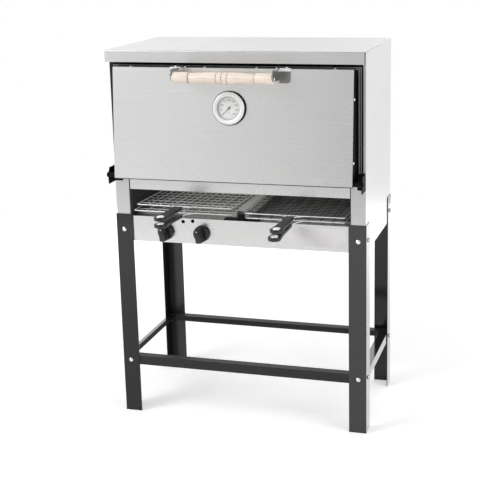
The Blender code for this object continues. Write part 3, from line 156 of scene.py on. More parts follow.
soft_light_level = 0.50
room_grey_left = 0.15
room_grey_right = 0.60
room_grey_behind = 0.12
front_fade = (-0.75, -0.10)
side_fade = (-0.33, -0.10)
back_fade = (0.2, 0.5)
corner_fade = (-0.36, -0.24)
world = bpy.data.worlds.new("white_sweep")
world.use_nodes = True
sky = world.node_tree
sky.nodes.clear()
looked_at = node(sky, "SeparateXYZ", {0: node(sky, "TexCoord").outputs["Generated"]})
in_front = ramp(sky, looked_at.outputs["Y"], *front_fade, 1.0, 0.0)
grey = ramp(sky, looked_at.outputs["X"], *side_fade, room_grey_left, room_grey_right)
behind = ramp(sky, looked_at.outputs["Y"], *back_fade, 0.0, 1.0)
grey_behind = ramp(sky, looked_at.outputs["X"], *corner_fade, 0.0, room_grey_behind)
mirrored = maths(sky, "ADD", maths(sky, "MULTIPLY", in_front, grey),
                 maths(sky, "MULTIPLY", behind, grey_behind))
mirrored = maths(sky, "MULTIPLY", mirrored, node(sky, "LightPath").outputs["Is Glossy Ray"])
white = node(sky, "Background", {"Color": (1, 1, 1, 1),
                                 "Strength": maths(sky, "SUBTRACT", 1.0, mirrored)})
soft = node(sky, "Background", {"Color": (1, 1, 1, 1), "Strength": soft_light_level})
both = node(sky, "MixShader", {0: seen_directly(sky), 1: soft.outputs[0], 2: white.outputs[0]})
node(sky, "OutputWorld", {"Surface": both.outputs[0]})
bpy.context.scene.world = world

lamps = {
    "lamp_left": ((-2.3, -2.2, 2.6), 2.0, 62),
    "lamp_right": ((2.6, -1.0, 1.9), 1.8, 26),
    "lamp_behind": ((0.9, 2.6, 2.4), 2.2, 14),
}
lamps_aim = Vector((0, 0, 0.65))
fill_size = (0.56, 0.20)
fill_watts = 0.14
fill_forward = 0.03
fill_drop = 0.002


def add_lamp(name, shape, size, watts, place):
    """Hang an area lamp that shines straight down and return it."""
    data = bpy.data.lights.new(name, "AREA")
    data.shape = shape
    data.size = size
    data.energy = watts
    made = placed(name, data)
    made.location = place
    return made


for lamp_name, (lamp_place, lamp_size, lamp_watts) in lamps.items():
    lamp = add_lamp(lamp_name, "DISK", lamp_size, lamp_watts, lamp_place)
    lamp.rotation_euler = (lamps_aim - lamp.location).to_track_quat("-Z", "Y").to_euler()
fill_lamp = add_lamp("lamp_under_deck", "RECTANGLE", fill_size[0], fill_watts, (
    0, stand_y - fill_forward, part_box("burner_plate_left")[0].z - fill_drop))
fill_lamp.data.size_y = fill_size[1]
fill_lamp.visible_camera = False

floor_radius = 2.6
floor_steps = 96
floor_glow_near = 0.37
floor_glow_far = 0.85
floor_fade = (0.7, 2.3)
floor_disc = bmesh.new()
bmesh.ops.create_circle(floor_disc, cap_ends=True, segments=floor_steps, radius=floor_radius)
floor_mesh = bpy.data.meshes.new("floor")
floor_disc.to_mesh(floor_mesh)
floor_disc.free()
floor_paint = finish_of("floor_paint", (0.86, 0.86, 0.86), 0.85, Specular_IOR_Level=0.0,
                        Emission_Color=(1, 1, 1, 1))
floor_tree = floor_paint.node_tree
floor_reach = node(floor_tree, "VectorMath", {0: node(floor_tree, "TexCoord").outputs["Object"]},
                   operation="LENGTH").outputs["Value"]
floor_glow = ramp(floor_tree, floor_reach, *floor_fade, floor_glow_near, floor_glow_far)
feed(floor_tree, "Emission Strength",
     maths(floor_tree, "MULTIPLY", seen_directly(floor_tree), floor_glow))
floor_mesh.materials.append(floor_paint)
floor = placed("floor", floor_mesh)
floor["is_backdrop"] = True


# Stand
# Four legs and four crossbars of 2 mm steel angle, painted gloss black and bolted together at
# the corners with zinc-plated round-head bolts through the legs.
def group_of(name, **inputs):
    """Start a node group with numbers or triples to set; return its tree and what it is given."""
    tree = bpy.data.node_groups.new(name, "ShaderNodeTree")
    tree.interface.new_socket("Colour", in_out="INPUT", socket_type="NodeSocketColor")
    for socket, value in inputs.items():
        kind = "NodeSocketVector" if isinstance(value, tuple) else "NodeSocketFloat"
        tree.interface.new_socket(socket, in_out="INPUT", socket_type=kind).default_value = value
    for socket, kind in (("Colour", "Color"), ("Roughness", "Float"), ("Normal", "Vector")):
        tree.interface.new_socket(socket, in_out="OUTPUT", socket_type="NodeSocket" + kind)
    return tree, tree.nodes.new("NodeGroupInput").outputs


def group_end(tree, **results):
    """Return the colour, the roughness and the normals from a node group."""
    end = tree.nodes.new("NodeGroupOutput")
    for name, result in results.items():
        tree.links.new(result, end.inputs[name])


def give(made, group, **values):
    """Place a shared group in a material, with its own values, and link it to the shader."""
    shared = node(made.node_tree, "Group", node_tree=group)
    for name, value in values.items():
        shared.inputs[name].default_value = value
    for output, socket in (("Colour", "Base Color"), ("Roughness", "Roughness"),
                           ("Normal", "Normal")):
        feed(made.node_tree, socket, shared.outputs[output])


def tinted(tree, colour, factor):
    """Multiply a colour by a grey factor and return the result."""
    return node(tree, "VectorMath", {0: colour, "Scale": factor}, operation="SCALE").outputs[0]


def noise(tree, place, scale, detail, roughness=0.55, distortion=0.0):
    """Return the grey of a noise over a place in metres."""
    return node(tree, "TexNoise", {"Vector": place, "Scale": scale, "Detail": detail,
                                   "Roughness": roughness, "Distortion": distortion}).outputs[0]


def bump(tree, strength, distance, height):
    """Return the normals of a surface that a height raises by up to a distance."""
    return node(tree, "Bump", {"Strength": strength, "Distance": distance,
                               "Height": height}).outputs[0]


sprayed, coat = group_of("sprayed_coat", Roughness=0.3, Peel=0.1, Dust=0.1)
sprayed_place = node(sprayed, "TexCoord").outputs["Object"]
sprayed_normal = node(sprayed, "TexCoord").outputs["Normal"]
sprayed_up = node(sprayed, "SeparateXYZ", {0: sprayed_normal}).outputs["Z"]
sprayed_peel = noise(sprayed, sprayed_place, 420, 2)
sprayed_cloud = noise(sprayed, sprayed_place, 9, 5, 0.6)
sprayed_speck = noise(sprayed, sprayed_place, 900, 3, 0.7)
dust_lies = maths(sprayed, "MULTIPLY", ramp(sprayed, sprayed_up, 0.3, 0.95, 0.12, 1.0),
                  ramp(sprayed, sprayed_cloud, 0.32, 0.72, 0.1, 1.0))
dust_lies = maths(sprayed, "MULTIPLY", dust_lies, ramp(sprayed, sprayed_speck, 0.35, 0.7, 0.3, 1.0))
dust_lies = maths(sprayed, "MULTIPLY", dust_lies, coat["Dust"])
sprayed_shade = ramp(sprayed, sprayed_cloud, 0.25, 0.75, 0.95, 1.05)
sprayed_colour = node(sprayed, "Mix", {
    0: dust_lies, 6: tinted(sprayed, coat["Colour"], sprayed_shade),
    7: (0.42, 0.41, 0.39, 1)}, data_type="RGBA")
sprayed_uneven = maths(sprayed, "SUBTRACT", sprayed_cloud, 0.5)
sprayed_rough = maths(sprayed, "ADD", coat["Roughness"],
                      maths(sprayed, "MULTIPLY", sprayed_uneven, 0.25))
sprayed_rough = maths(sprayed, "ADD", sprayed_rough, maths(sprayed, "MULTIPLY", dust_lies, 0.5))
peel_height = 0.0004
group_end(sprayed, Colour=sprayed_colour.outputs[2], Roughness=sprayed_rough,
          Normal=bump(sprayed, coat["Peel"], peel_height, sprayed_peel))


def coated(name, colour, roughness, peel, dust, metallic=0.0, **sockets):
    """Make a painted, plated, moulded or printed finish."""
    made = finish_of(name, colour, roughness, metallic, **sockets)
    give(made, sprayed, Colour=(*colour, 1), Roughness=roughness, Peel=peel, Dust=dust)
    return made


def gloss_paint(name, grey, roughness, dust):
    """Make black paint with a clear coat that shines when it is looked along."""
    made = coated(name, (grey, grey, grey), roughness, 0.05, dust, IOR=1.42, Coat_IOR=3.4,
                  Coat_Roughness=0.08)
    tree = made.node_tree
    looked_along = node(tree, "LayerWeight", {"Blend": 0.5}).outputs["Facing"]
    feed(tree, "Coat Weight", ramp(tree, looked_along, 0.45, 0.72, 0.0, 1.0))
    return made


black_gloss = gloss_paint("black_gloss", 0.011, 0.12, 0.01)
# A lighter copy of the black paint with a little more dust, for two legs: dust and painted sheen.
black_dust_and_sheen = gloss_paint("black_dust_and_sheen", 0.042, 0.20, 0.03)
black_satin = coated("black_satin", (0.030, 0.030, 0.031), 0.40, 0.10, 0.03, IOR=1.30)
deep_black = coated("deep_black", (0.004, 0.004, 0.004), 0.55, 0.05, 0.0, IOR=1.2)
sides = ("left", "right")
merge_reach = 0.00001
sharp_edge = radians(35)
soft_edge = radians(40)
fold_edge = radians(28)
square_on = 0.9
flat_on = 0.95


def piece_from(name, solid, material, body, smooth=None):
    """Turn a bmesh into a piece of the oven that rides on a body."""
    mesh = bpy.data.meshes.new(name)
    solid.to_mesh(mesh)
    solid.free()
    thing = placed(name, mesh)
    mesh.materials.append(material)
    if smooth is not None:
        mesh.shade_smooth()
        mesh.set_sharp_from_angle(angle=smooth)
    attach(thing, body)
    return thing


def body_with(node_name):
    """Return the name of the body that a CAD node rides on."""
    return next(name for name, members in frame["record"]["behaviour"]["bodies"].items()
                if node_name in members)


def stand_in(name, solid, material, node_name, smooth):
    """Turn a bmesh into the piece that replaces a CAD node, on its body."""
    thing = piece_from(name, solid, material, body_with(node_name), smooth)
    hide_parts(node_name)
    for row in frame["record"]["materials"]:
        if node_name in row.get("nodes", []):
            break
    return thing


def bisected(solid, place, across, clear_outer=False):
    """Cut a solid along a plane and return the edges of the cut."""
    everything = list(solid.verts) + list(solid.edges) + list(solid.faces)
    cut = bmesh.ops.bisect_plane(solid, geom=everything, plane_co=place, plane_no=across,
                                 clear_outer=clear_outer)
    return [item for item in cut["geom_cut"] if isinstance(item, bmesh.types.BMEdge)]


def folded(node_name, name, material, radius, steps=2, split_at=(), wide_fold=None):
    """Copy a CAD sheet, merge its loose triangles and round its folds and cut edges."""
    solid = bmesh.new()
    solid.from_mesh(cad_nodes[node_name].data)
    bmesh.ops.remove_doubles(solid, verts=solid.verts, dist=merge_reach)
    bmesh.ops.dissolve_limit(solid, angle_limit=radians(0.5), verts=solid.verts,
                             edges=solid.edges)
    for place, across in split_at:
        bisected(solid, place, across)
    if wide_fold:
        fold_width, on_fold = wide_fold
        bmesh.ops.bevel(solid, geom=[edge for edge in solid.edges
                                     if all(on_fold(vert.co) for vert in edge.verts)],
                        offset=fold_width, segments=3, profile=0.5, affect="EDGES", material=1)
    thing = stand_in(name, solid, material, node_name, fold_edge)
    rounding = thing.modifiers.new("rounding", "BEVEL")
    rounding.width = radius
    rounding.segments = steps
    rounding.limit_method = "ANGLE"
    rounding.angle_limit = sharp_edge
    rounding.use_clamp_overlap = False
    rounding.harden_normals = True
    return thing


def repaint(material, *node_names):
    """Give CAD nodes that keep their own shape a better finish."""
    for name in node_names:
        for material_slot in cad_nodes[name].material_slots:
            material_slot.material = material


def paint_faces(thing, material, chosen):
    """Give the faces of a piece that a test of centre and normal picks out another finish."""
    thing.data.materials.append(material)
    for face in thing.data.polygons:
        if chosen(face.center, face.normal):
            face.material_index = len(thing.data.materials) - 1


def lathed(profile, steps):
    """Spin a profile of (radius, distance) points about Z; it ends on the axis or closes itself."""
    solid = bmesh.new()
    points = [solid.verts.new((radius, 0, height)) for radius, height in profile]
    lines = [solid.edges.new(pair) for pair in zip(points, points[1:])]
    bmesh.ops.spin(solid, geom=points + lines, cent=(0, 0, 0), axis=(0, 0, 1), angle=tau,
                   steps=steps, use_merge=True)
    bmesh.ops.remove_doubles(solid, verts=solid.verts, dist=merge_reach)
    bmesh.ops.recalc_face_normals(solid, faces=solid.faces)
    if solid.calc_volume(signed=True) < 0:
        bmesh.ops.reverse_faces(solid, faces=solid.faces)
    return solid


def add_to(solid, part):
    """Join a finished bmesh to another one."""
    joined = bpy.data.meshes.new("joined")
    part.to_mesh(joined)
    part.free()
    solid.from_mesh(joined)
    bpy.data.meshes.remove(joined)


zinc_plate = coated("zinc_plate", (0.86, 0.86, 0.84), 0.22, 0.05, 0.03, 1.0)
zinc_tree = zinc_plate.node_tree
zinc_colour = zinc_tree.nodes["Group"].outputs["Colour"]
# The zinc is darkened where a head turns away towards its rim: painted shade round each bolt head.
zinc_rim_shade = node(zinc_tree, "LayerWeight", {"Blend": 0.5}).outputs["Facing"]
feed(zinc_tree, "Base Color", tinted(zinc_tree, zinc_colour,
                                     ramp(zinc_tree, zinc_rim_shade, 0.10, 0.55, 1.0, 0.22)))
leg_low, leg_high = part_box("leg_front_right")
leg_reach = stand_y - leg_low.y
angle_rounding = 0.0009
past_leg = 0.0001
bolt_stand_off = 0.0061
left_bar_shine = 0.011
dust_and_sheen_legs = ("front_right", "back_left")


def plate_bolts(thing):
    """Give the round bolt heads outside the legs, which are one with a bar or sheet, their zinc."""
    paint_faces(thing, zinc_plate, lambda centre, normal: (
        abs(centre.x) > leg_high.x + past_leg or abs(centre.y - stand_y) > leg_reach + past_leg))


for end_name in ("front", "back"):
    bar = folded("crossbar_" + end_name, "stand_bar_" + end_name,
                 black_gloss if end_name == "front" else black_satin, angle_rounding)
    paint_faces(bar, black_satin, lambda centre, normal: normal.z > square_on)
    plate_bolts(bar)
    for side_name in sides:
        # The front right and back left legs take the lighter black: their dust and a painted sheen.
        corner = end_name + "_" + side_name
        leg = folded("leg_" + corner, "stand_leg_" + corner,
                     black_dust_and_sheen if corner in dust_and_sheen_legs else black_gloss, angle_rounding)
        # The back left leg's faces that look to the right are painted deep black: painted shade.
        if corner == "back_left":
            paint_faces(leg, deep_black, lambda centre, normal: normal.x > square_on)
for side_name, side in (("left", -1), ("right", 1)):
    inner = side * (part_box("crossbar_right")[1].x - bolt_stand_off - left_bar_shine)
    bar = folded("crossbar_" + side_name, "stand_bar_" + side_name, black_gloss, angle_rounding,
                 split_at=[((inner, 0, 0), (1, 0, 0))])
    # All of the left bar inward of a strip along its outer edge is painted deep black: painted
    # shade.
    if side_name == "left":
        paint_faces(bar, deep_black, lambda centre, normal: centre.x > inner)
    plate_bolts(bar)


# Housing
# Side walls, back, top cover with its fascia, front panel and deck of 1.2 mm stainless sheet
# with a fine brushed grain, folded at the edges and held by the leg bolts and spot welds. The
# front panel has a blank vinyl label and two thin lighting tubes, deep black as painted shade
# for the dark inside of its lighting holes.
def stretched(tree, place, scales):
    """Scale a place along each axis and return the result."""
    return node(tree, "VectorMath", {0: place, 1: scales}, operation="MULTIPLY").outputs[0]


brushed, sheet = group_of("brushed_sheet", Roughness=0.3, Grain=(1, 1, 1), Smears=0.5, Depth=0.1)
brushed_place = node(brushed, "TexCoord").outputs["Object"]
grain_streak = noise(brushed, stretched(brushed, brushed_place, sheet["Grain"]), 1.0, 4, 0.65)
broad_cloud = noise(brushed, brushed_place, 2.6, 3, 0.5)
hand_smear = noise(brushed, brushed_place, 11, 5, 0.62, 0.8)
grain_shade = ramp(brushed, grain_streak, 0.25, 0.75, 0.98, 1.02)
cloud_shade = ramp(brushed, broad_cloud, 0.3, 0.7, 0.975, 1.02)
smear_spread = maths(brushed, "MULTIPLY", ramp(brushed, hand_smear, 0.5, 0.72, 0.0, 1.0),
                     sheet["Smears"])
smear_shade = maths(brushed, "SUBTRACT", 1.0, maths(brushed, "MULTIPLY", smear_spread, 0.05))
sheet_shade = maths(brushed, "MULTIPLY", maths(brushed, "MULTIPLY", grain_shade, cloud_shade),
                    smear_shade)
sheet_rough = maths(brushed, "ADD", sheet["Roughness"],
                    maths(brushed, "MULTIPLY", maths(brushed, "SUBTRACT", grain_streak, 0.5), 0.14))
sheet_rough = maths(brushed, "ADD", sheet_rough, maths(brushed, "MULTIPLY", smear_spread, 0.12))
grain_height = 0.0002
group_end(brushed, Colour=tinted(brushed, sheet["Colour"], sheet_shade), Roughness=sheet_rough,
          Normal=bump(brushed, sheet["Depth"], grain_height, grain_streak))


def metal(name, colour, roughness, grain, smears=0.5, depth=0.06, metallic=1.0):
    """Make brushed sheet or wire whose grain runs along the axis with the small number."""
    made = finish_of(name, colour, roughness, metallic)
    give(made, brushed, Colour=(*colour, 1), Roughness=roughness, Grain=grain, Smears=smears,
         Depth=depth)
    return made


along_width = (6, 700, 700)
along_height = (700, 700, 6)
along_depth = (700, 6, 700)
# One brushed stainless in lighter and darker copies for sheets and faces that look different ways:
# painted light and shade, lightest on the sides, darker on the posts and panels in front.
cover_steel = metal("cover_steel", (0.80, 0.80, 0.795), 0.26, along_width)
side_steel = metal("side_steel", (0.86, 0.86, 0.855), 0.30, along_height)
shaded_post_steel = metal("shaded_post_steel", (0.52, 0.52, 0.515), 0.30, along_height)
front_steel = metal("front_steel", (0.61, 0.61, 0.605), 0.27, along_width, 0.3)
shaded_fascia_steel = metal("shaded_fascia_steel", (0.68, 0.68, 0.675), 0.36, along_width, 0.2)
panel_steel = metal("panel_steel", (0.56, 0.56, 0.555), 0.27, along_width, 0.3)
fold_shade = metal("fold_shade", (0.26, 0.26, 0.26), 0.40, along_width)
seam_shade = metal("seam_shade", (0.10, 0.10, 0.10), 0.50, along_height)
fold_radius = 0.0005
thin_fold_radius = 0.0004
wide_fold_radius = 0.0018
mouth_foot = 0.690
seam_width = 0.0028
near_point = 0.00005
cut_edge_width = 0.0016
cover_low, cover_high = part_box("top_cover")
# The wide fold along the cover's top front edge is painted fold_shade, a painted dark line of
# shade.
cover_sheet = folded("top_cover", "cover_sheet", cover_steel, fold_radius, wide_fold=(
    wide_fold_radius, lambda place: place.y < cover_low.y + near_point
    and place.z > cover_high.z - near_point), split_at=[
        ((cover_high.x - cut_edge_width, 0, 0), (1, 0, 0))])
cover_sheet.data.materials.append(fold_shade)
# Its front faces, the fascia, take a darker copy of the steel, painted shade, with a painted dark
# line at the right end.
paint_faces(cover_sheet, shaded_fascia_steel, lambda centre, normal: normal.y < -flat_on)
paint_faces(cover_sheet, fold_shade, lambda centre, normal: (
    normal.y < -flat_on and centre.x > cover_high.x - cut_edge_width))
for side_name in sides:
    side_sheet = folded("side_panel_" + side_name, "side_sheet_" + side_name, side_steel,
                        fold_radius, split_at=[((0, 0, mouth_foot), (0, 0, 1))])
    # The side sheets' front faces, the posts, take a darker copy of the steel: painted shade.
    paint_faces(side_sheet, shaded_post_steel, lambda centre, normal: normal.y < -square_on)
    # Above the deck the left post's front is painted black: painted shade from the door.
    if side_name == "left":
        paint_faces(side_sheet, black_gloss,
                    lambda centre, normal: normal.y < -square_on and centre.z > mouth_foot)
    plate_bolts(side_sheet)
plate_bolts(folded("back_panel", "back_sheet", front_steel, fold_radius))
folded("control_panel", "front_sheet", panel_steel, fold_radius)
post_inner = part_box("side_panel_right")[0].x
deck_sheet = folded("oven_deck", "deck_sheet", front_steel, fold_radius, split_at=[
    ((side * (post_inner - seam_width), 0, 0), (1, 0, 0)) for side in (-1, 1)])
paint_faces(deck_sheet, seam_shade, lambda centre, normal: (
    normal.y < -square_on and post_inner - seam_width < abs(centre.x)))

lighting_holes = {"left": (-0.1560, 0.5670), "right": (-0.1285, 0.5695)}
hole_shade_tube = [(0.0033, 0), (0.0040, 0), (0.0040, 0.021), (0.0033, 0.021), (0.0033, 0)]
hole_shade_ring = [(0.0034, -0.0015), (0.0051, -0.0015), (0.0049, -0.0022), (0.0036, -0.0022),
                 (0.0034, -0.0015)]
lighting_steps = 32
tube_start = 0.0014
sheet_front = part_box("control_panel")[0].y
# Each lighting hole is lined with a deep black tube and ring: painted shade for the hole's dark
# inside.
for hole_name, (hole_x, hole_z) in lighting_holes.items():
    tube = lathed(hole_shade_tube, lighting_steps)
    add_to(tube, lathed(hole_shade_ring, lighting_steps))
    tube.transform(Matrix.Translation((hole_x, sheet_front + tube_start, hole_z))
                   @ Matrix.Rotation(-pi / 2, 4, "X"))
    piece_from("hole_shade_tube_" + hole_name, tube, deep_black, "oven", soft_edge)


def block(size):
    """Make a block round the origin."""
    solid = bmesh.new()
    bmesh.ops.create_cube(solid, size=1)
    bmesh.ops.scale(solid, vec=size, verts=solid.verts)
    return solid


def rounded(solid, edges, radius, steps=3):
    """Round some edges of a solid."""
    bmesh.ops.bevel(solid, geom=edges, offset=radius, segments=steps, profile=0.5, affect="EDGES",
                    material=-1)


label_size = (0.211, 0.0002, 0.052)
label_x = 0.1915
label_z = 0.5435
label_corner = 0.003
label_vinyl = coated("label_vinyl", (0.80, 0.78, 0.79), 0.28, 0.04, 0.04)
label = block(label_size)
rounded(label, [edge for edge in label.edges
                if abs(edge.verts[0].co.y - edge.verts[1].co.y) > label_size[1] / 2],
        label_corner, 5)
label_y = sheet_front - near_point - label_size[1] / 2
label.transform(Matrix.Translation((label_x, label_y, label_z)))
piece_from("blank_label", label, label_vinyl, "oven")

# Grill space
# Dark inner walls and ledges, a stainless rail between the baskets with a black bracket
# screwed under its front end, and the loose drip tray on the floor.
# The inner walls and ledges are a near-black steel.
dark_inner = metal("dark_inner_sheet", (0.10, 0.10, 0.10), 0.42, (9, 9, 60), 1.0, 0.1, 0.8)
tray_steel = metal("tray_steel", (0.46, 0.46, 0.45), 0.36, along_width, 1.0, metallic=0.35)
rail_steel = metal("rail_steel", (0.70, 0.70, 0.69), 0.34, along_depth, metallic=0.25)
bracket_fold_radius = 0.0006
for side_name in sides:
    folded("slot_wall_" + side_name, "inner_wall_" + side_name, dark_inner, thin_fold_radius)
    folded("basket_ledge_" + side_name, "inner_ledge_" + side_name, dark_inner, thin_fold_radius)
folded("centre_rail", "middle_rail", rail_steel, thin_fold_radius)
folded("centre_rail_bracket", "middle_bracket", deep_black, bracket_fold_radius)
folded("drip_tray", "tray_pan", tray_steel, thin_fold_radius)

# Baking chamber
# Matt black frame with two fine beads round the mouth, grey as a painted sheen of the frame's
# lit front, a formed liner, the fire-clay stone on the deck and a blanket of ceramic wool
# packed round the liner.
liner_steel = metal("liner_steel", (0.46, 0.45, 0.43), 0.42, along_depth, 1.0, 0.1)
folded("door_frame", "mouth_frame", deep_black, thin_fold_radius)
# The beads' grey is a painted sheen on the black-painted frame.
bead_sheen_grey = coated("mouth_bead", (0.30, 0.30, 0.30), 0.35, 0.05, 0.02)
bead_half = 0.0011
bead_proud = 0.0010
bead_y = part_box("door_frame")[0].y - near_point - bead_proud / 2
mouth_beads = {"outer": (0.3357, 0.9898), "inner": (0.3307, 0.9858)}
for bead_name, (bead_x, bead_top) in mouth_beads.items():
    bead = bmesh.new()
    for low, high in (((-bead_x - bead_half, mouth_foot), (-bead_x + bead_half, bead_top)),
                      ((bead_x - bead_half, mouth_foot), (bead_x + bead_half, bead_top)),
                      ((-bead_x - bead_half, bead_top + near_point),
                       (bead_x + bead_half, bead_top + 2 * bead_half))):
        strip = block((high[0] - low[0], bead_proud, high[1] - low[1]))
        strip.transform(Matrix.Translation((
            (low[0] + high[0]) / 2, bead_y, (low[1] + high[1]) / 2)))
        add_to(bead, strip)
    piece_from("mouth_bead_" + bead_name, bead, bead_sheen_grey, "oven")
folded("chamber_liner", "chamber_shell", liner_steel, fold_radius)


def textured(name, colour, roughness):
    """Start a material with a texture of its own; return it, its nodes and the place on it."""
    made = finish_of(name, colour, roughness)
    return made, made.node_tree, node(made.node_tree, "TexCoord").outputs["Object"]


def two_tone(tree, value, low, low_colour, high, high_colour):
    """Blend two colours over a range of a value and return the result."""
    made = node(tree, "ValToRGB", {0: value})
    for stop, at, colour in zip(made.color_ramp.elements, (low, high), (low_colour, high_colour)):
        stop.position = at
        stop.color = (*colour, 1)
    return made.outputs[0]


clay, clay_tree, clay_place = textured("fire_clay", (0.70, 0.60, 0.47), 0.9)
clay_grit = noise(clay_tree, clay_place, 520, 4, 0.7)
clay_cloud = noise(clay_tree, clay_place, 14, 5, 0.6)
clay_scorch = noise(clay_tree, clay_place, 7, 4, 0.6, 0.5)
clay_speck = two_tone(clay_tree, clay_grit, 0.34, (0.34, 0.26, 0.19), 0.52, (0.72, 0.62, 0.49))
clay_shade = tinted(clay_tree, clay_speck, ramp(clay_tree, clay_cloud, 0.3, 0.7, 0.88, 1.06))
clay_burnt = node(clay_tree, "Mix", {0: ramp(clay_tree, clay_scorch, 0.52, 0.74, 0.0, 0.55),
                                     6: clay_shade, 7: (0.20, 0.12, 0.07, 1)}, data_type="RGBA")
feed(clay_tree, "Base Color", clay_burnt.outputs[2])
feed(clay_tree, "Normal", bump(clay_tree, 0.5, 0.0006, clay_grit))
stone_edge_radius = 0.0018
folded("hearth_stone", "baking_stone", clay, stone_edge_radius, 3)

wool_white = (0.88, 0.86, 0.80)
wool, wool_tree, wool_place = textured("ceramic_wool", wool_white, 1.0)
wool_fibre = noise(wool_tree, wool_place, 130, 6, 0.75, 1.5)
wool_tuft = noise(wool_tree, wool_place, 24, 4, 0.6)
feed(wool_tree, "Base Color", tinted(wool_tree, wool_white,
                                     ramp(wool_tree, wool_fibre, 0.3, 0.7, 0.82, 1.05)))
wool_height = maths(wool_tree, "ADD", wool_fibre, maths(wool_tree, "MULTIPLY", wool_tuft, 2.0))
feed(wool_tree, "Normal", bump(wool_tree, 0.9, 0.0020, wool_height))
repaint(wool, "insulation_wool", "door_wool")

# Burners and gas run
# Two infrared burners of formed steel with drilled ceramic plates hang under the deck. Brass
# cocks on the manifold feed them through brass pipes; the inlet is at the back.
burner_steel = metal("burner_steel", (0.50, 0.49, 0.47), 0.45, along_depth, 1.0, 0.1)
burner_fold_radius = 0.0008
for side_name in sides:
    folded("burner_" + side_name, "burner_box_" + side_name, burner_steel, burner_fold_radius)
ceramic_cream = (0.78, 0.70, 0.58)
ceramic, ceramic_tree, ceramic_place = textured("burner_ceramic", ceramic_cream, 0.85)
ceramic_cell = node(ceramic_tree, "TexVoronoi", {"Vector": ceramic_place, "Scale": 260,
                                                 "Randomness": 0.0}).outputs["Distance"]
ceramic_port = ramp(ceramic_tree, ceramic_cell, 0.22, 0.34, 0.0, 1.0)
ceramic_glow = noise(ceramic_tree, ceramic_place, 18, 4)
# The drilled ports are painted dark as well as sunk by the bump: painted shade inside the holes.
ceramic_shade = maths(ceramic_tree, "MULTIPLY", ramp(ceramic_tree, ceramic_port, 0, 1, 0.18, 1.0),
                      ramp(ceramic_tree, ceramic_glow, 0.3, 0.7, 0.85, 1.05))
feed(ceramic_tree, "Base Color", tinted(ceramic_tree, ceramic_cream, ceramic_shade))
feed(ceramic_tree, "Normal", bump(ceramic_tree, 0.8, 0.001, ceramic_port))
repaint(ceramic, "burner_plate_left", "burner_plate_right")

brass = coated("brass", (0.74, 0.56, 0.27), 0.30, 0.08, 0.10, 1.0)
repaint(brass, "gas_valve_left", "gas_valve_right", "feed_pipe_left", "feed_pipe_right",
        "gas_manifold")

# Knobs
# Moulded black plastic knobs: a round skirt with a tapered finger bar across it and a white
# dot at the bar's top end, pushed on to the valve stems.
plastic = coated("black_plastic", (0.012, 0.012, 0.012), 0.32, 0.15, 0.03)
white_mark = coated("white_mark", (0.88, 0.88, 0.86), 0.5, 0.05, 0.05)
knob_lean = radians(-12)
knob_radius = 0.0225
knob_height = 0.034
knob_skirt_height = 0.008
knob_skirt_taper = 0.965
knob_skirt_round = 0.0016
knob_bar_half = 0.0125
knob_bar_narrowing = 0.30
knob_bar_draft = 0.10
knob_bar_foot = 0.955
knob_bar_top = 0.86
knob_bar_round = 0.0014
knob_dot_radii = (0.0019, 0.0017)
knob_dot_thick = 0.0006
knob_dot_out = 0.0135
knob_dot_steps = 24


def cone(low_radius, high_radius, height, middle, segments=64):
    """Make a capped cone about Z round a middle."""
    solid = bmesh.new()
    bmesh.ops.create_cone(solid, cap_ends=True, segments=segments, radius1=low_radius,
                          radius2=high_radius, depth=height, matrix=Matrix.Translation(middle))
    return solid


for side_name in sides:
    low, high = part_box("knob_" + side_name)
    knob_place = (Matrix.Translation(((low.x + high.x) / 2, high.y, (low.z + high.z) / 2))
                  @ Matrix.Rotation(knob_lean, 4, "Y") @ Matrix.Rotation(pi / 2, 4, "X"))
    knob = cone(knob_radius, knob_radius * knob_skirt_taper, knob_skirt_height,
                (0, 0, knob_skirt_height / 2))
    rounded(knob, [edge for edge in knob.edges
                   if all(vert.co.z > knob_skirt_height / 2 for vert in edge.verts)],
            knob_skirt_round)
    bar_height = knob_height - knob_skirt_height / 2
    bar = cone(knob_radius * knob_bar_foot, knob_radius * knob_bar_top, bar_height,
               (0, 0, knob_skirt_height / 2 + bar_height / 2))
    for way in (-1, 1):
        bmesh.ops.holes_fill(bar, edges=bisected(
            bar, (way * knob_bar_half, 0, knob_skirt_height), (way, 0, knob_bar_draft), True))
    for vert in bar.verts:
        along = (vert.co.y + knob_radius) / (2 * knob_radius)
        vert.co.x *= 1 - knob_bar_narrowing * along
    rounded(bar, [edge for edge in bar.edges
                  if len(edge.link_faces) == 2 and edge.calc_face_angle(0) > sharp_edge
                  and min(vert.co.z for vert in edge.verts) > knob_skirt_height], knob_bar_round)
    add_to(knob, bar)
    knob.transform(knob_place)
    stand_in("knob_grip_" + side_name, knob, plastic, "knob_" + side_name, sharp_edge)
    dot = cone(*knob_dot_radii, knob_dot_thick, (0, knob_dot_out, knob_height), knob_dot_steps)
    dot.transform(knob_place)
    piece_from("knob_dot_" + side_name, dot, white_mark, "knob_" + side_name)

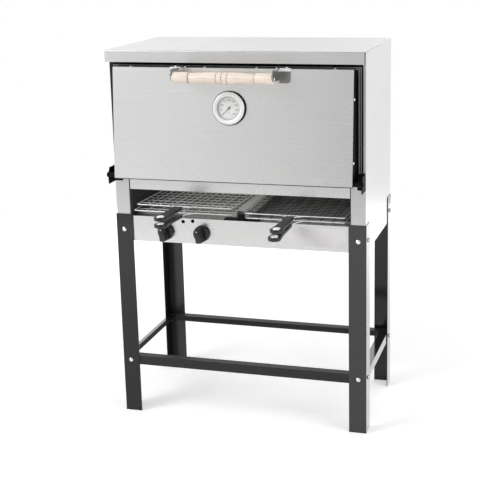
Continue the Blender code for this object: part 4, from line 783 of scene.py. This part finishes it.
# Grill baskets
# Two hinged wire baskets: welded grids of bright wire, thick round the border and thin between,
# with eyes at the back that the lid's pins turn in, and two wires from each leaf into its grip.
basket_inner = 0.0180
basket_outer = 0.2920
basket_left_lower_outer = 0.3015
basket_front = stand_y - 0.180
basket_back = stand_y + 0.126
basket_axis_y = stand_y + 0.134
basket_axis_z = 0.5963
leaf_levels = {"lower": 0.5833, "upper": 0.5963}
left_tilt = radians(-1.1)
left_lid_tilt = radians(-0.8)
leaf_tilts = {("left", "lower"): left_tilt, ("left", "upper"): left_tilt + left_lid_tilt}
border_radius = 0.0015
border_corner = 0.008
wire_radius = 0.0012
thin_wire_radius = 0.0009
weld_overlap = 0.0003
corner_steps = 4
eye_steps = 16
cells_across = 8
cells_deep = 9
eye_radius = 0.0042
eye_inset = 0.016
eye_lead = 0.001
pin_half = 0.006
grip_levels = {"lower": 0.5778, "upper": 0.5983}
grip_lift_and_rise = {("left", "lower"): (0.0032, 0.0057)}
grip_places = {("left", "lower"): -0.160, ("left", "upper"): -0.160,
               ("right", "lower"): 0.1445, ("right", "upper"): 0.1500}
grip_wire = ((0.034, 0.0), (0.016, 0.012), (0.0065, 0.024), (0.0065, 0.044))
wire_edge = radians(60)
dark_margin = 0.004
bright_wire = metal("bright_wire", (0.95, 0.95, 0.94), 0.28, (60, 60, 60), 0.8, 0.05, 0.40)
# A dark copy of the wire for the right basket.
dark_wire = metal("dark_wire", (0.06, 0.06, 0.06), 0.45, (60, 60, 60), 0.8, 0.05, 0.4)


def tipped(leaf):
    """Return the matrix that tips a leaf about the basket's hinge."""
    hinge = Vector((0, basket_axis_y, basket_axis_z))
    return (Matrix.Translation(hinge) @ Matrix.Rotation(leaf_tilts.get(leaf, 0), 4, "X")
            @ Matrix.Translation(-hinge))


def add_line(curve, points, closed):
    """Draw straight lines through points on a curve."""
    spline = curve.splines.new("POLY")
    spline.points.add(len(points) - 1)
    for point, place in zip(spline.points, points):
        point.co = (*place, 1)
    spline.use_cyclic_u = closed


def add_curve(solid, curve, place=Matrix()):
    """Join a drawn curve's faces to a bmesh and clear the curve away."""
    drawn = bpy.data.objects.new(curve.name, curve)
    mesh = bpy.data.meshes.new_from_object(drawn)
    mesh.transform(place)
    solid.from_mesh(mesh)
    bpy.data.objects.remove(drawn)
    bpy.data.meshes.remove(mesh)
    bpy.data.curves.remove(curve)


def wires(leaf, routes):
    """Make one leaf of round wires; a route is its radius, its points and whether it closes."""
    joined = bmesh.new()
    for radius, points, closed in routes:
        line = bpy.data.curves.new("wire", "CURVE")
        line.dimensions = "3D"
        line.bevel_depth = radius
        line.bevel_resolution = 1 if radius < border_radius else 2
        line.use_fill_caps = True
        add_line(line, points, closed)
        add_curve(joined, line)
    joined.transform(tipped(leaf))
    return stand_in("wire_%s_%s" % leaf, joined, bright_wire, "basket_%s_%s" % leaf, wire_edge)


for side_name, side in (("left", -1), ("right", 1)):
    for leaf_name, level in leaf_levels.items():
        leaf = (side_name, leaf_name)
        wire_level = level + border_radius
        low_level = wire_level - wire_radius - thin_wire_radius + weld_overlap
        wide = basket_left_lower_outer if leaf == ("left", "lower") else basket_outer
        x_low, x_high = sorted((side * basket_inner, side * wide))
        rim = []
        for centre_x, centre_y, start in (
                (x_high - border_corner, basket_back - border_corner, 0),
                (x_low + border_corner, basket_back - border_corner, pi / 2),
                (x_low + border_corner, basket_front + border_corner, pi),
                (x_high - border_corner, basket_front + border_corner, 3 * pi / 2)):
            for step in range(corner_steps + 1):
                angle = start + pi / 2 * step / corner_steps
                rim.append((centre_x + border_corner * cos(angle),
                            centre_y + border_corner * sin(angle), wire_level))
        routes = [(border_radius, rim, True)]
        for count in range(1, cells_across):
            x = x_low + (x_high - x_low) * count / cells_across
            routes.append((wire_radius, [(x, basket_front, wire_level),
                                         (x, basket_back, wire_level)], False))
        for count in range(1, cells_deep):
            y = basket_front + (basket_back - basket_front) * count / cells_deep
            routes.append((thin_wire_radius, [(x_low, y, low_level),
                                              (x_high, y, low_level)], False))
        grip_level = grip_levels[leaf_name] + grip_lift_and_rise.get(leaf, (0, 0))[0]
        heights = (wire_level, (wire_level + grip_level) / 2, grip_level, grip_level)
        for way in (-1, 1):
            routes.append((border_radius, [
                (grip_places[leaf] + way * aside, basket_front - ahead, height)
                for (aside, ahead), height in zip(grip_wire, heights)], False))
        for eye_x in (x_low + eye_inset, x_high - eye_inset):
            if leaf_name == "lower":
                ring = [(eye_x, basket_axis_y + eye_radius * cos(tau * step / eye_steps),
                         basket_axis_z + eye_radius * sin(tau * step / eye_steps))
                        for step in range(eye_steps)]
                routes.append((wire_radius, ring, True))
                routes.append((wire_radius, [
                    (eye_x, basket_back, wire_level),
                    (eye_x, basket_axis_y + eye_lead, basket_axis_z - eye_radius)], False))
            else:
                routes.append((wire_radius, [(eye_x - pin_half, basket_axis_y, basket_axis_z),
                                             (eye_x + pin_half, basket_axis_y, basket_axis_z),
                                             (eye_x + pin_half, basket_back, wire_level)], False))
        basket = wires(leaf, routes)
        # The right basket's wires inside its border are dark; the left basket's stay bright.
        if side_name == "right":
            paint_faces(basket, dark_wire, lambda centre, normal: (
                centre.y > basket_front + dark_margin
                and x_low + dark_margin < centre.x < x_high - dark_margin))

# Grips
# Flat moulded grips of black heat-resistant plastic, widest at the round end, with rolled edges
# and an oval hole to hang the basket up by.
grip_root_half = 0.0112
grip_end_half = 0.0170
grip_end_over = 0.3
grip_end_steps = 24
grip_back = basket_front - 0.026
grip_front = basket_front - 0.176
grip_thick = 0.0104
grip_roll = 0.0030
grip_flare = ((0.0, 0.0), (0.0006, 0.050), (0.0012, 0.090), (0.0030, 0.108))
eyelet_steps = 32
eyelet_half = (0.0088, 0.0105)
eyelet_y = grip_front + 0.0172
eyelet_lip = 0.0016
eyelet_wall = 0.0007
eyelet_gap = 0.0001
eyelet_short = 0.0006
eyelet_shoulder = 0.0008
eyelet_crown = 0.0012
grip_merge_reach = 0.00002
grip_side = [(grip_root_half + wider, grip_back - ahead, 0) for wider, ahead in grip_flare]
grip_outline = [(-x, y, z) for x, y, z in grip_side]
for step in range(grip_end_steps + 1):
    angle = pi - grip_end_over + (pi + 2 * grip_end_over) * step / grip_end_steps
    grip_outline.append((grip_end_half * cos(angle),
                         grip_front + grip_end_half + grip_end_half * sin(angle), 0))
grip_outline += grip_side[::-1]
grip_hole = [(eyelet_half[0] * cos(-tau * step / eyelet_steps),
              eyelet_y + eyelet_half[1] * sin(-tau * step / eyelet_steps), 0)
             for step in range(eyelet_steps)]
wide = eyelet_half[0] - eyelet_gap
top = grip_thick / 2
foot = eyelet_short - top
eyelet_shape = [(wide, foot), (wide, top), (wide + eyelet_lip, top),
                (wide + eyelet_lip * 0.8, top + eyelet_shoulder),
                (wide + eyelet_lip * 0.3, top + eyelet_crown),
                (wide - eyelet_wall * 0.6, top + eyelet_shoulder), (wide - eyelet_wall, top),
                (wide - eyelet_wall, foot), (wide, foot)]
for leaf, grip_x in grip_places.items():
    lift, rise = grip_lift_and_rise.get(leaf, (0, 0))
    slope = rise / (grip_back - grip_front)
    flat = bpy.data.curves.new("grip", "CURVE")
    flat.dimensions = "2D"
    flat.fill_mode = "BOTH"
    flat.extrude = grip_thick / 2 - grip_roll
    flat.bevel_depth = grip_roll
    flat.bevel_resolution = 3
    flat.offset = -grip_roll
    add_line(flat, grip_outline, True)
    add_line(flat, grip_hole, True)
    grip = bmesh.new()
    add_curve(grip, flat)
    bmesh.ops.remove_doubles(grip, verts=grip.verts, dist=grip_merge_reach)
    bmesh.ops.recalc_face_normals(grip, faces=grip.faces)
    sloped = Matrix(((1, 0, 0, 0), (0, 1, 0, 0), (0, -slope, 1, slope * grip_back), (0, 0, 0, 1)))
    place = tipped(leaf) @ Matrix.Translation((grip_x, 0, grip_levels[leaf[1]] + lift)) @ sloped
    grip.transform(place)
    node_name = "grip_%s_%s" % leaf
    stand_in("basket_" + node_name, grip, plastic, node_name, soft_edge)
    eyelet = lathed(eyelet_shape, eyelet_steps)
    bmesh.ops.scale(eyelet, vec=(1, (eyelet_half[1] - eyelet_gap) / wide, 1), verts=eyelet.verts)
    eyelet.transform(place @ Matrix.Translation((0, eyelet_y, 0)))
    piece_from("grip_eyelet_%s_%s" % leaf, eyelet, bright_wire, body_with(node_name), soft_edge)

# Door
# A leaning skin of brushed stainless folded back round the edges, with small screws through the
# folds into the black inner pan that holds the wool.
door_steel = metal("door_steel", (0.78, 0.78, 0.775), 0.26, along_width, 0.25, 0.02)
door_lean = radians(4.56)
door_foot_ahead = 0.244
door_foot_level = 0.693
door_place = (Matrix.Translation((0, stand_y - door_foot_ahead, door_foot_level))
              @ Matrix.Rotation(-door_lean, 4, "X"))
door_half = 0.3240
door_slope_height = 0.29744
door_shade_height = 0.0024
door_foot_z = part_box("door_panel")[0].z + door_shade_height
screw_proud = 0.0003
screw_bright = coated("screw_bright", (0.92, 0.92, 0.91), 0.25, 0.02, 0.0, 0.4)
door_skin = folded("door_panel", "door_skin", door_steel, fold_radius,
                   split_at=[((0, 0, door_foot_z), (0, 0, 1))])
# Everything of the skin below that line is painted dark: a painted shadow along the door's foot.
paint_faces(door_skin, seam_shade, lambda centre, normal: centre.z < door_foot_z)
door_back = door_place.inverted()
paint_faces(door_skin, screw_bright, lambda centre, normal: (
    abs(centre.x) > door_half + screw_proud
    or (door_back @ centre).z > door_slope_height + screw_proud))
folded("door_pan", "door_inner", deep_black, thin_fold_radius)

# Hinges
# Black folded ears welded to the posts, with shouldered bolts that the door turns on.
for side_name in sides:
    folded("hinge_ear_" + side_name, "hinge_tab_" + side_name, deep_black, fold_radius)
    folded("hinge_bolt_" + side_name, "hinge_pin_" + side_name, deep_black, fold_radius)

# Handle
# A turned pine grip with grooves and beads, sanded and oiled, between two folded stainless
# brackets, with a zinc screw through each ear into its end grain.
# Dark and light copies of the bracket steel: painted shade on the plates, painted light on their
# top tabs.
shaded_bracket_steel = metal("shaded_bracket_steel", (0.30, 0.30, 0.295), 0.32, along_height, 0.8)
lit_tab_steel = metal("lit_tab_steel", (0.86, 0.86, 0.85), 0.32, along_width, metallic=0.3)
tab_height = 0.0105
ear_reach = 0.045
tab_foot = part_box("handle_bracket_right")[1].z - tab_height
ear_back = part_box("handle_bracket_right")[0].y + ear_reach
for side_name in sides:
    plate = folded("handle_bracket_" + side_name, "handle_plate_" + side_name, shaded_bracket_steel,
                   thin_fold_radius, split_at=[((0, 0, tab_foot), (0, 0, 1))])
    paint_faces(plate, lit_tab_steel, lambda centre, normal: (
        centre.z > tab_foot and centre.y > ear_back))
    # The plates' faces that look to the right, at the front, take the posts' darker steel: painted
    # shade.
    paint_faces(plate, shaded_post_steel, lambda centre, normal: (
        normal.x > square_on and centre.y < ear_back))
repaint(zinc_plate, "handle_screw_left", "handle_screw_right")
handle_middle = (0, -0.058, 0.2742)
handle_half = 0.1325
handle_steps = 48
bead_width = 0.0150
groove_radius = 0.0126
groove_side = 0.0012
end_groove = 0.0885
burnt_reach = 0.003
burnt_depth = 0.0008
burnt_beads = 1.2 * bead_width
end_face = 0.98
bead_shape = [(groove_radius, 0), (groove_radius, 0.04), (0.0149, 0.13), (0.0154, 0.5),
              (0.0149, 0.87), (groove_radius, 0.96)]
handle_profile = [(0, -handle_half), (0.0133, -handle_half), (0.0149, -0.1311), (0.0149, -0.0915),
                  (0.0144, -0.0905), (0.0126, -0.0900), (0.0126, -0.0888), (0.0130, -0.0870),
                  (0.0136, -0.0680), (0.0146, -0.0470), (0.0154, -0.0300), (0.0156, -0.0180),
                  (0.0154, -bead_width - groove_side)]
for start in (-bead_width, 0):
    handle_profile += [(radius, start + bead_width * share) for radius, share in bead_shape]
handle_profile += [(groove_radius, bead_width), (0.0154, bead_width + groove_side),
                   (0.0156, 0.0230), (0.0152, 0.0350), (0.0143, 0.0520), (0.0133, 0.0700),
                   (0.0126, 0.0840), (0.0124, 0.0856), (0.0124, 0.0866), (0.0142, 0.0872),
                   (0.0147, 0.0882), (0.0147, 0.1311), (0.0131, handle_half), (0, handle_half)]
pine, pine_tree, pine_place = textured("turned_pine", (0.93, 0.81, 0.72), 0.42)
pine_bend = noise(pine_tree, pine_place, 5, 2)
pine_shift = node(pine_tree, "CombineXYZ", {1: maths(pine_tree, "MULTIPLY", pine_bend, 0.02),
                                            2: maths(pine_tree, "MULTIPLY", pine_bend, 0.03)})
pine_bent = node(pine_tree, "VectorMath", {0: pine_place, 1: pine_shift.outputs[0]},
                 operation="ADD").outputs[0]
pine_rings = noise(pine_tree, stretched(pine_tree, pine_bent, (9, 260, 260)), 1.0, 2, 0.5)
pine_pores = noise(pine_tree, stretched(pine_tree, pine_place, (60, 1800, 1800)), 1.0, 3, 0.6)
pine_colour = two_tone(pine_tree, pine_rings, 0.36, (0.87, 0.73, 0.62), 0.58, (0.96, 0.85, 0.76))
feed(pine_tree, "Base Color", tinted(pine_tree, pine_colour,
                                     ramp(pine_tree, pine_pores, 0.3, 0.6, 0.90, 1.04)))
feed(pine_tree, "Normal", bump(pine_tree, 0.25, 0.0003, pine_pores))
handle = lathed(handle_profile, handle_steps)
handle.transform(door_place @ Matrix.Translation(handle_middle) @ Matrix.Rotation(pi / 2, 4, "Y"))
pine_handle = stand_in("pine_handle", handle, pine, "wooden_handle", soft_edge)
burnt_pine = coated("burnt_pine", (0.42, 0.28, 0.19), 0.6, 0.10, 0.02)
handle_axis = door_place @ Vector(handle_middle)
paint_faces(pine_handle, burnt_pine, lambda centre, normal: (
    abs(normal.x) < end_face
    and (centre.yz - handle_axis.yz).length < groove_radius + burnt_depth
    and (abs(centre.x) < burnt_beads or abs(abs(centre.x) - end_groove) < burnt_reach)))

# Thermometer
# A dial thermometer through the door: black drawn case, satin steel ring, white printed dial
# with plain figures, black needle and a flat glass.
dial_rise = 0.1955
window_radius = 0.0308
case_steps = 72
ring_steps = 96
ring_lip = 0.0060
ring_lip_slope = 0.3
ring_edge = radians(50)
satin_ring = coated("satin_ring", (0.88, 0.88, 0.88), 0.40, 0.02, 0.01, 0.3)
dial_place = door_place @ Matrix.Translation((0, 0, dial_rise)) @ Matrix.Rotation(pi / 2, 4, "X")
case = lathed([(0, -0.065), (0.0045, -0.065), (0.0045, 0.0003), (0.0435, 0.0003), (0.0446, 0.0014),
               (0.0444, 0.0060), (0.0335, 0.0072), (0.0335, 0.0036), (0, 0.0036)], case_steps)
case.transform(dial_place)
stand_in("dial_case", case, deep_black, "thermometer_case", sharp_edge)
bezel = lathed([(window_radius, 0.0080), (0.0410, 0.0070), (0.0420, 0.0078), (0.0424, 0.0094),
                (0.0418, 0.0112), (0.0400, 0.0122), (0.0365, 0.0125), (0.0325, 0.0121),
                (window_radius, 0.0108), (window_radius, 0.0080)], ring_steps)
bezel.transform(dial_place)
dial_ring = piece_from("dial_ring", bezel, satin_ring, "door", ring_edge)
dial_axis = door_place @ Vector((0, 0, dial_rise))
# The ring's inner wall round the window is painted deep black: painted shade in the recess.
paint_faces(dial_ring, deep_black, lambda centre, normal: (
    (centre - dial_axis).length < window_radius + ring_lip
    and normal.dot(door_place.to_3x3() @ Vector((0, -1, 0))) < ring_lip_slope))
dial_paper = coated("dial_paper", (0.90, 0.91, 0.90), 0.55, 0.02, 0.02)
repaint(dial_paper, "thermometer_dial")
ink = coated("printed_ink", (0.05, 0.05, 0.05), 0.6, 0.02, 0.0)
repaint(ink, "thermometer_needle")
dial_face = 0.0052
dial_start = radians(225)
dial_sweep = radians(270)
tick_count = 80
tick_outer = 0.0300
tick_inner = {10: 0.0262, 5: 0.0275, 1: 0.0285}
tick_width = {10: 0.00045, 5: 0.00025, 1: 0.00025}
tick_thick = 0.0001
figure_count = 8
figure_step = 50
figure_radius = 0.0205
figure_size = 0.0062
figure_thick = 0.00004
unit_size = 0.0070
unit_drop = 0.0110
printed = bmesh.new()
for count in range(tick_count + 1):
    angle = dial_start - dial_sweep * count / tick_count
    rank = next(every for every in (10, 5, 1) if count % every == 0)
    inner = tick_inner[rank]
    tick = block((tick_outer - inner, tick_width[rank], tick_thick))
    tick.transform(Matrix.Rotation(angle, 4, "Z")
                   @ Matrix.Translation(((tick_outer + inner) / 2, 0, dial_face)))
    add_to(printed, tick)


def lettering(text, size, place):
    """Add plain figures, flat and centred, to the printed dial."""
    drawn = bpy.data.curves.new("figure", "FONT")
    drawn.body = text
    drawn.size = size
    drawn.align_x = "CENTER"
    drawn.align_y = "CENTER"
    drawn.extrude = figure_thick
    add_curve(printed, drawn, Matrix.Translation((*place, dial_face)))


for count in range(figure_count + 1):
    angle = dial_start - dial_sweep * count / figure_count
    lettering(str(count * figure_step), figure_size,
              (figure_radius * cos(angle), figure_radius * sin(angle)))
lettering("°C", unit_size, (0, -unit_drop))
printed.transform(dial_place)
piece_from("dial_print", printed, ink, "door")

glass = finish_of("clear_glass", (1, 1, 1), 0.02, IOR=1.45, Alpha=0.10)
repaint(glass, "thermometer_glass")

low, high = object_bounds()
